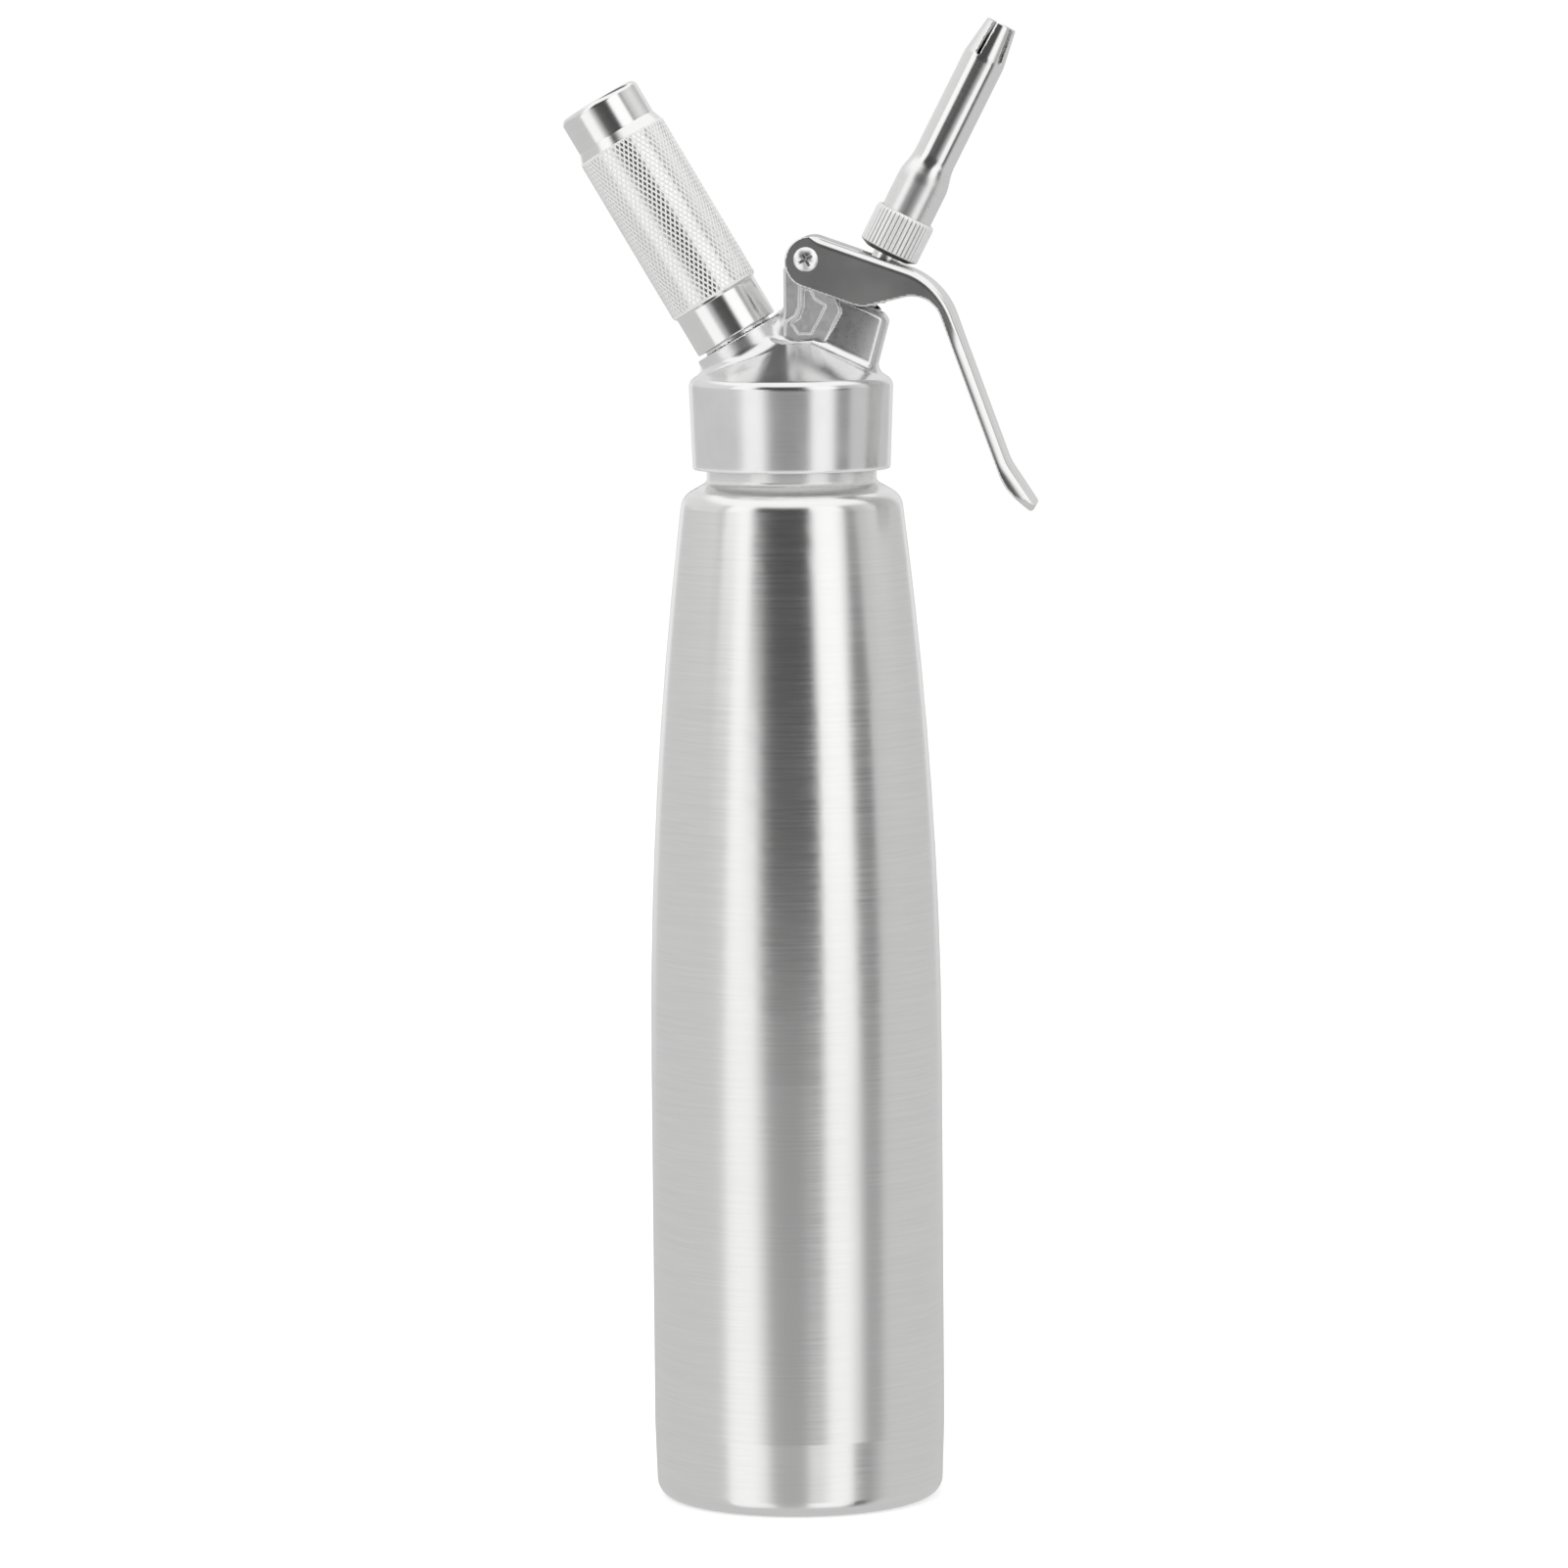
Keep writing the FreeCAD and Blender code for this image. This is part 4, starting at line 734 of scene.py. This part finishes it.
def make_pivot():
    turn = Matrix.Rotation(math.radians(90), 4, "X")
    material = satin_metal("pivot_steel", (0.88, 0.88, 0.88), 0.22, 0.3, 0.002, 0.03)
    reach = LEVER_HALF + SCREW_HEAD
    screw, _ = field_mesh("pan_head_screw", screw_field, (-3.6, -3.6, -2 * LEVER_HALF),
                          (3.6, 3.6, 1.4), 0.1)
    screw.matrix_world = Matrix.Translation(Vector((PIVOT_X, -LEVER_HALF, PIVOT_Z)) * MM) @ turn
    dress(screw, "lever_arm", "pivot_steel", material, "pivot_screw")
    sleeve = turned("headed_sleeve", outline(
        (SLEEVE_BORE_R, SCREW_HEAD - LEVER_HALF), (ON_AXIS, SCREW_HEAD - LEVER_HALF),
        (ON_AXIS, -reach), (1.2, -reach, 2.0), (SCREW_R - 0.1, -reach + 0.42, 0.3),
        (SCREW_R, -LEVER_HALF), (SLEEVE_R, -LEVER_HALF), (SLEEVE_R, LEVER_HALF - 0.02, 0.15),
        (SLEEVE_BORE_R, LEVER_HALF - 0.02)), 96)
    sleeve.matrix_world = Matrix.Translation(Vector((PIVOT_X, 0, PIVOT_Z)) * MM) @ turn
    dress(sleeve, "lever_arm", "pivot_steel", material, "pivot_sleeve")


# ---------------------------------------------------------------- nozzle

TUBE_FOOT = 25.0
TUBE_WIDE_R = 6.95
TUBE_NARROW_R = 5.7
TUBE_WALL = 0.9
TUBE_TAPER = 73.0
TIP_R = 4.1
TIP_LEVEL = 83.3
INLET_R = 2.32
SHOULDER_FOOT = 37.5
SHOULDER_TOP = 42.5
SLOTS = 5
FIRST_SLOT = math.radians(-22 - 90)
SLOT_LENGTH = 9.8
SLOT_HALF = 0.65
DIMPLE_TURNS = np.radians((71, 191, 311))
DIMPLE_LEVEL = 31.4
DIMPLE_R = 0.5
TUBE_OUTLINE = outline(
    (INLET_R, TUBE_FOOT), (TUBE_WIDE_R, TUBE_FOOT), (TUBE_WIDE_R, SHOULDER_FOOT, 14.0),
    (TUBE_NARROW_R, SHOULDER_TOP, 14.0), (TUBE_NARROW_R, TUBE_TAPER, 12.0),
    (TIP_R, TIP_LEVEL, 0.25), (TIP_R - TUBE_WALL, TIP_LEVEL, 0.25),
    (TUBE_NARROW_R - TUBE_WALL, TUBE_TAPER, 8.0), (TUBE_NARROW_R - TUBE_WALL, SHOULDER_TOP, 2.0),
    (TUBE_WIDE_R - TUBE_WALL, SHOULDER_FOOT, 3.0), (TUBE_WIDE_R - TUBE_WALL, TUBE_FOOT + TUBE_WALL),
    (INLET_R, TUBE_FOOT + TUBE_WALL), steps=12)


def tube_field(x, y, z):
    """The spout along its seat, with the slots in its tip and the dimples at its foot."""
    around = np.hypot(x, y)
    solid = outline_distance(around, z, TUBE_OUTLINE)
    for i in range(SLOTS):
        turn = FIRST_SLOT + 2 * math.pi * i / SLOTS
        outward = x * math.cos(turn) + y * math.sin(turn)
        across = y * math.cos(turn) - x * math.sin(turn)
        foot = TIP_LEVEL - SLOT_LENGTH + SLOT_HALF
        blade = np.where(z > foot, np.abs(across), np.hypot(across, z - foot)) - SLOT_HALF
        solid = cut(solid, np.maximum(blade, 1.5 - outward), 0.12)
    for turn in DIMPLE_TURNS:
        dimple = np.sqrt((x - TUBE_WIDE_R * math.cos(turn)) ** 2
                         + (y - TUBE_WIDE_R * math.sin(turn)) ** 2
                         + (z - DIMPLE_LEVEL) ** 2) - DIMPLE_R
        solid = cut(solid, dimple, 0.1)
    return solid


NUT_FOOT = 15.5
NUT_TOP = 27.2
NUT_R = 8.2
NUT_FOOT_BEVEL = 2.4
NUT_RIBS = 40
RIB_DEPTH = 0.3
RIB_FLANK = 0.2


def make_nozzle():
    steel = (0.88, 0.88, 0.875)
    tube, _ = field_mesh("spout_tube", tube_field, (-7.6, -7.6, TUBE_FOOT - 0.6),
                         (7.6, 7.6, TIP_LEVEL + 0.6), 0.28)
    dress(tube, "nozzle", "nozzle_steel",
          turned_metal("nozzle_steel", steel, 0.15, 0.12, 0.0010, 0.02, VALVE, (40.0, 0.3)),
          "nozzle_tube", seat=VALVE)
    dress(ribbed_nut(), "nozzle", "nozzle_steel", nut_metal("nut_steel", steel), "nozzle_nut",
          seat=VALVE)


def ribbed_nut():
    """The nut as rings of points; a row gives a ring's radius and level, the grooves' share of
    their full depth and how much shade is painted on it; the grooves get painted shade too."""
    foot_top = NUT_FOOT + NUT_FOOT_BEVEL / 2
    inner = NUT_R - NUT_FOOT_BEVEL
    # The last figure of a row is painted shade: 1 on the underside, the foot bevel and inside the
    # top recess.
    rows = [(3.65, NUT_FOOT, 0, 1), (inner, NUT_FOOT, 0, 1), (inner + 0.2, NUT_FOOT + 0.05, 0, 1),
            (NUT_R - 0.3, foot_top - 0.2, 0, 1), (NUT_R - 0.08, foot_top, 0.3, 0.4),
            (NUT_R, foot_top + 0.3, 1, 0)]
    rows += [(NUT_R, z, 1, 0) for z in np.linspace(foot_top + 0.8, NUT_TOP - 1.3, 8)]
    rows += [(NUT_R, NUT_TOP - 1.0, 1, 0), (NUT_R - 0.12, NUT_TOP - 0.55, 0.7, 0),
             (NUT_R - 0.35, NUT_TOP - 0.22, 0.25, 0), (NUT_R - 0.6, NUT_TOP - 0.05, 0, 0),
             (7.4, NUT_TOP, 0, 0), (7.25, NUT_TOP - 0.1, 0, 1), (7.2, NUT_TOP - 0.6, 0, 1),
             (6.97, NUT_TOP - 0.7, 0, 1), (6.97, TUBE_FOOT, 0, 1), (4.75, TUBE_FOOT, 0, 0),
             (4.75, TUBE_FOOT - 1, 0, 0), (3.65, TUBE_FOOT - 1, 0, 0)]
    steps = 10
    segments = NUT_RIBS * steps
    points, painted_shades = [], []
    for radius, level, share, shade in rows:
        for j in range(segments):
            from_groove = abs((j / steps + 0.5) % 1 - 0.5)
            groove = share * max(0.0, 1 - from_groove / RIB_FLANK)
            crown = share * 0.07 * (2 * from_groove - 1) ** 2
            angle = 2 * math.pi * j / segments
            reach = radius - RIB_DEPTH * groove - crown
            points.append((reach * math.cos(angle), reach * math.sin(angle), level))
            # Painted shade for each point: in the rib grooves and on the rows marked above.
            painted_shades.append(max(groove, shade))
    count = len(rows)
    faces = [(i * segments + j, i * segments + (j + 1) % segments,
              ((i + 1) % count) * segments + (j + 1) % segments, ((i + 1) % count) * segments + j)
             for i in range(count) for j in range(segments)]
    piece = add_mesh("ribbed_nut", points, faces)
    # The attribute groove carries this painted shade to nut_metal's base colour.
    add_attribute(piece, "groove", painted_shades)
    return piece


def nut_metal(name, colour):
    """Matt ribs, with shade painted into the grooves, the foot bevel and the recess."""
    material, tree, shader = blank_material(name)
    shader.inputs["Metallic"].default_value = 0.42
    groove = add_node(tree, "Attribute", attribute_name="groove").outputs["Fac"]
    grain = even_noise(tree, 3000, 2.0, 2.0)
    # Painted shade: the base colour falls to 0.16 of itself where the attribute groove is 1.
    dark = rescale(tree, groove, 0.2, 1.0, 1.0, 0.16)
    shade = add_node(tree, "VectorMath", {0: colour, "Scale": dark}, operation="SCALE")
    tree.links.new(shade.outputs[0], shader.inputs["Base Color"])
    tree.links.new(rescale(tree, grain, 0.3, 0.7, 0.35, 0.48, False), shader.inputs["Roughness"])
    bumps(tree, shader, (grain, 0.005))
    return material


# ---------------------------------------------------------------- charger holder

HOLDER_FOOT = 1.0
HOLDER_R = 11.7
KNURL_FOOT = 12.0
KNURL_END = 60.6
KNURL_R = 12.5
CAP_R = 11.29
CAP_FOOT = 63.2
HOLDER_END = 73.08
HOLDER_BORE_R = 10.35
BORE_END = 10.6
BULB_ROOM_R = 9.3
BULB_ROOM_END = 59.05
KNURL_AROUND = 60
KNURL_ROWS = 40
KNURL_DEPTH = 0.2
PAD_HALF = 0.3


def knurl_rows():
    """Points, faces and heights of the diamond knurl: two sets of V grooves round flat pads.

    Pads lie at whole numbers of p and q, where p + q turns round the holder and p - q climbs it,
    with a groove half way between two pads. Each pad is split at the two sides of its flat top.
    """
    start, end = KNURL_FOOT + 0.7, KNURL_END
    pitch = 2 * (end - start) / KNURL_ROWS
    steps = 3 * KNURL_AROUND
    last = 3 * KNURL_ROWS

    def lattice(k):
        return k // 3 + (-0.5, -PAD_HALF, PAD_HALF)[k % 3]

    def height(value):
        return min(1.0, (0.5 - abs(value - math.floor(value + 0.5))) / (0.5 - PAD_HALF))

    points, tops = [], []
    for d in range(last + 1):
        for k in range(steps):
            p, q = lattice(k), lattice(k - d)
            top = min(height(p), height(q))
            if d in (0, last):
                top = min(top, 0.5)
            radius = KNURL_R - KNURL_DEPTH * (1 - top)
            angle = math.pi * (p + q) / KNURL_AROUND
            points.append((radius * math.cos(angle), radius * math.sin(angle),
                           start + pitch * (p - q) / 2))
            tops.append(top)

    def at(k, d):
        return d * steps + k % steps

    faces = []
    for d in range(1, last):
        faces += [(at(k, d), at(k, d - 1), at(k + 1, d), at(k + 1, d + 1)) for k in range(steps)]
    faces += [(at(k, 0), at(k + 1, 0), at(k + 1, 1)) for k in range(steps)]
    faces += [(at(k, last), at(k, last - 1), at(k + 1, last)) for k in range(steps)]
    return points, faces, tops


def knurl_metal(name, colour):
    """Bright flat pads, with blasted grooves between them that look pale from every side."""
    material, tree, shader = blank_material(name)
    top = add_node(tree, "Attribute", attribute_name="top").outputs["Fac"]
    pad = rescale(tree, top, 0.55, 1.0)
    grain = even_noise(tree, 4000, 2.0, 2.0)
    cloud = even_noise(tree, 90, 3.0, 5.0)
    tint(tree, shader, colour, 0.03, cloud)
    tree.links.new(rescale(tree, pad, 0.0, 1.0, 0.15, 1.0, False), shader.inputs["Metallic"])
    blasted = rescale(tree, grain, 0.3, 0.7, 0.5, 0.65, False)
    tree.links.new(blend(tree, pad, blasted, 0.17), shader.inputs["Roughness"])
    bumps(tree, shader, (calculate(tree, "MULTIPLY", grain, calculate(
        tree, "SUBTRACT", 1.0, pad)), 0.006))
    return material


def make_holder():
    barrel = turned("charger_barrel", outline(
        (HOLDER_BORE_R, HOLDER_FOOT), (HOLDER_R, HOLDER_FOOT, 0.5), (HOLDER_R, KNURL_FOOT, 0.3),
        (KNURL_R - 0.3, KNURL_FOOT + 0.7, 0.3), (KNURL_R - 0.3, KNURL_END, 0.3),
        (CAP_R, CAP_FOOT, 0.4), (CAP_R, HOLDER_END, 1.6), (ON_AXIS, HOLDER_END),
        (ON_AXIS, 68.35), (5.0, 67.0, 2.0), (BULB_ROOM_R, BULB_ROOM_END, 4.0),
        (BULB_ROOM_R, 12.0), (HOLDER_BORE_R, BORE_END)), 240)
    alloy = (0.88, 0.88, 0.875)
    dress(barrel, "holder", "holder_alloy",
          turned_metal("holder_alloy", alloy, 0.15, 0.15, 0.0014, 0.02, CHARGER),
          "charger_holder", seat=CHARGER)
    points, faces, tops = knurl_rows()
    grip = add_mesh("knurled_grip", points, faces)
    grip.data.shade_flat()
    add_attribute(grip, "top", tops)
    dress(grip, "holder", "holder_alloy", knurl_metal("knurl_alloy", alloy), seat=CHARGER)


# ---------------------------------------------------------------- carried-over CAD nodes


def dress_cad_nodes():
    """The nodes whose shape is right as it is, each with its own finish."""
    bright = turned_metal("valve_steel", (0.84, 0.84, 0.84), 0.18, 0.1, 0.001, 0.03, VALVE)
    rubber = dull_plastic("seal_rubber", (0.022, 0.022, 0.024), 0.55)
    silicone = dull_plastic("gasket_silicone", (0.27, 0.012, 0.009), 0.42, subsurface=0.05)
    finishes = {
        "bottle": bottle_metal("bottle_steel", (0.87, 0.87, 0.865)),
        "head_gasket": silicone,
        "valve_seal": silicone,
        "charger_seal": rubber,
        "check_valve_sleeve": rubber,
        "stem_o_ring": rubber,
        "nozzle_seal": rubber,
        "check_valve_body": bright,
        "valve_stem": bright,
        "thrust_nut": bright,
        "piercing_pin": satin_metal("pin_steel", (0.62, 0.62, 0.64), 0.25, 0.2, 0.001),
        "stem_guide_bush": dull_plastic("bush_plastic", (0.66, 0.64, 0.57), 0.38, 0.5, 0.002,
                                        0.03, 0.1),
        "valve_spring": satin_metal("spring_steel", (0.62, 0.62, 0.64), 0.24, 0.15, 0.001),
        "gas_charger": satin_metal("bulb_steel", (0.55, 0.56, 0.58), 0.36, 0.4, 0.003, 0.08),
    }
    for name, material in finishes.items():
        mesh = frame["nodes"][name].data
        mesh.materials.clear()
        mesh.materials.append(material)


# ---------------------------------------------------------------- studio

# What metal shows at each azimuth, in degrees from the camera's side towards +X, as a display
# grey: level with the object, well above it, some way below it, where the floor fades the bands,
# and steeply below it.
LEVEL_BANDS = ((-180, 0.42), (-176, 0.42), (-172, 0.78), (-165, 0.90), (-152, 0.90),
               (-148, 0.77), (-61, 0.77), (-53, 0.97), (-35, 0.97), (-24, 0.48), (-17, 0.32),
               (17, 0.30), (25, 0.98), (46, 0.98), (53, 0.46), (56, 0.43), (68, 0.44),
               (73, 0.76), (148, 0.75), (152, 0.88), (162, 0.86), (168, 0.78), (174, 0.78),
               (177, 0.42), (180, 0.42))
HIGH_BANDS = ((-180, 0.86), (-98, 0.83), (-86, 0.85), (-80, 0.76), (-77, 0.76), (-71, 0.98),
              (-45, 0.99), (-37, 0.28), (-30, 0.26), (15, 0.27), (22, 1.00), (53, 1.00),
              (58, 0.62), (65, 0.62), (70, 0.74), (80, 0.76), (88, 0.82), (104, 0.84),
              (120, 0.78), (134, 0.70), (148, 0.86), (180, 0.86))
FLOOR_BANDS = ((-180, 0.72), (-148, 0.76), (-68, 0.77), (-56, 0.93), (-36, 0.94), (-23, 0.71),
               (-10, 0.68), (18, 0.65), (26, 0.93), (49, 0.95), (57, 0.69), (67, 0.66),
               (73, 0.76), (148, 0.76), (180, 0.72))
STEEP_BANDS = ((-180, 0.76), (-62, 0.76), (-58, 0.97), (-28, 0.97), (-20, 0.68), (4, 0.68),
               (9, 0.97), (42, 0.97), (46, 0.36), (52, 0.30), (57, 0.50), (63, 0.66),
               (70, 0.77), (180, 0.76))
# Elevations over which each set of bands takes over from the one before it, in degrees.
FLOOR_FADE = (-3.0, -9.5)
STEEP_FADE = (-12.0, -15.0)
BELOW_FADE = (-38.0, -55.0)
BELOW_GREY = 0.76
HIGH_FADE = (3.0, 9.0)
ABOVE_FADE = (30.0, 44.0)
ABOVE_GREY = 0.97
# A round dark patch overhead: its direction, the angles of its edge from there and its grey.
OVERHEAD = (-0.09, 0.39, 0.92)
OVERHEAD_EDGE = np.cos(np.radians((27, 15))).tolist()
OVERHEAD_GREY = 0.38
# The metals return about this share of what they reflect.
METAL_SHARE = 0.88
ROOM_LIGHT = 0.8
FLOOR_GLOW = 0.42
CAMERA_TURN = math.radians(4.0)
LAMP_AIM = Vector((0, 0, 0.2))


def band_ramp(tree, place, bands):
    """A set of bands, read at a share of the full turn from -180 degrees."""
    ramp = add_node(tree, "ValToRGB", {"Fac": place})
    elements = ramp.color_ramp.elements
    for degrees, value in bands[1:-1]:
        elements.new(degrees / 360 + 0.5)
    for element, (degrees, value) in zip(elements, bands):
        element.position = degrees / 360 + 0.5
        level = light(value)
        element.color = (level, level, level, 1)
    return ramp.outputs["Color"]


def make_world():
    """White to the camera, the bands to metal, and an even room to everything else."""
    world = bpy.data.worlds.new("studio")
    world.use_nodes = True
    bpy.context.scene.world = world
    tree = world.node_tree
    tree.nodes.clear()
    direction = add_node(tree, "TexCoord").outputs["Generated"]
    parts = add_node(tree, "SeparateXYZ", {0: direction}).outputs
    azimuth = calculate(tree, "ARCTAN2", parts[0], calculate(tree, "MULTIPLY", parts[1], -1.0))
    turned_by = calculate(tree, "SUBTRACT", azimuth, CAMERA_TURN)
    place = calculate(tree, "FRACT", calculate(
        tree, "ADD", calculate(tree, "DIVIDE", turned_by, 2 * math.pi), 0.5))
    height = calculate(tree, "DEGREES", calculate(tree, "ARCSINE", parts[2]))
    shown = band_ramp(tree, place, LEVEL_BANDS)
    for fade, other in ((FLOOR_FADE, band_ramp(tree, place, FLOOR_BANDS)),
                        (STEEP_FADE, band_ramp(tree, place, STEEP_BANDS)),
                        (BELOW_FADE, light(BELOW_GREY)),
                        (HIGH_FADE, band_ramp(tree, place, HIGH_BANDS)),
                        (ABOVE_FADE, light(ABOVE_GREY))):
        shown = blend(tree, rescale(tree, height, *fade), shown, other)
    nearness = add_node(tree, "VectorMath", {0: direction, 1: OVERHEAD}, operation="DOT_PRODUCT")
    shown = blend(tree, rescale(tree, nearness.outputs["Value"], *OVERHEAD_EDGE), shown,
                  light(OVERHEAD_GREY))
    path = add_node(tree, "LightPath").outputs
    shiny = calculate(tree, "MAXIMUM", path["Is Glossy Ray"], path["Is Transmission Ray"])
    bands = calculate(tree, "DIVIDE", shown, METAL_SHARE)
    strength = blend(tree, shiny, ROOM_LIGHT, bands)
    strength = blend(tree, path["Is Camera Ray"], strength, 1.0)
    background = add_node(tree, "Background", {"Color": (1, 1, 1, 1), "Strength": strength})
    output = add_node(tree, "OutputWorld")
    tree.links.new(background.outputs[0], output.inputs["Surface"])


def make_floor():
    bpy.ops.mesh.primitive_circle_add(vertices=96, radius=4.0, fill_type="NGON")
    floor = bpy.context.object
    floor.name = "floor"
    floor.visible_glossy = False
    material = bpy.data.materials.new("floor_white")
    material.use_nodes = True
    tree = material.node_tree
    tree.nodes.clear()
    paint = add_node(tree, "BsdfDiffuse", {"Color": (0.8, 0.8, 0.8, 1)})
    camera = add_node(tree, "LightPath").outputs["Is Camera Ray"]
    glow = add_node(tree, "Emission", {"Color": (1, 1, 1, 1), "Strength": calculate(
        tree, "MULTIPLY", camera, FLOOR_GLOW)})
    both = add_node(tree, "AddShader", {0: paint.outputs[0], 1: glow.outputs[0]})
    output = add_node(tree, "OutputMaterial")
    tree.links.new(both.outputs[0], output.inputs["Surface"])
    floor.data.materials.append(material)


def make_lamp(name, place, size, power):
    """A round lamp that faces the bottle's middle; metal doesn't show it."""
    data = bpy.data.lights.new(name, "AREA")
    data.shape = "DISK"
    data.size = size
    data.energy = power
    lamp = bpy.data.objects.new(name, data)
    bpy.context.scene.collection.objects.link(lamp)
    lamp.location = place
    aim = LAMP_AIM - Vector(place)
    lamp.rotation_euler = aim.to_track_quat("-Z", "Y").to_euler()
    lamp.visible_glossy = False


def make_camera():
    """The photograph's camera: its place, in millimetres, and its turn, tip and roll."""
    place = Vector((135.387, -1975.897, 389.693)) * MM
    turn, tip, roll = CAMERA_TURN, math.radians(5.7), math.radians(-0.5)
    focal_pixels, image_pixels, sensor = 7600, 1601, 36.0
    back = Vector((math.sin(turn) * math.cos(tip), -math.cos(turn) * math.cos(tip),
                   math.sin(tip)))
    right = (-back).cross(Vector((0, 0, 1))).normalized()
    up = right.cross(-back)
    rolled_right = right * math.cos(roll) + up * math.sin(roll)
    rolled_up = up * math.cos(roll) - right * math.sin(roll)
    data = bpy.data.cameras.new("camera")
    data.sensor_width = sensor
    data.lens = sensor * focal_pixels / image_pixels
    data.clip_start, data.clip_end = 0.1, 20.0
    camera = bpy.data.objects.new("camera", data)
    bpy.context.scene.collection.objects.link(camera)
    camera.matrix_world = Matrix.Translation(place) @ Matrix(
        (rolled_right, rolled_up, back)).transposed().to_4x4()
    bpy.context.scene.camera = camera


def make_studio():
    bpy.context.scene.view_settings.view_transform = "Standard"
    make_world()
    make_floor()
    make_lamp("key", (-0.9, -1.1, 1.6), 1.2, 9.0)
    make_lamp("fill", (1.3, -0.4, 1.2), 1.2, 5.0)
    make_camera()


# ---------------------------------------------------------------- the whole scene

make_studio()
dress_cad_nodes()
make_head()
make_lever()
make_pivot()
make_nozzle()
make_holder()
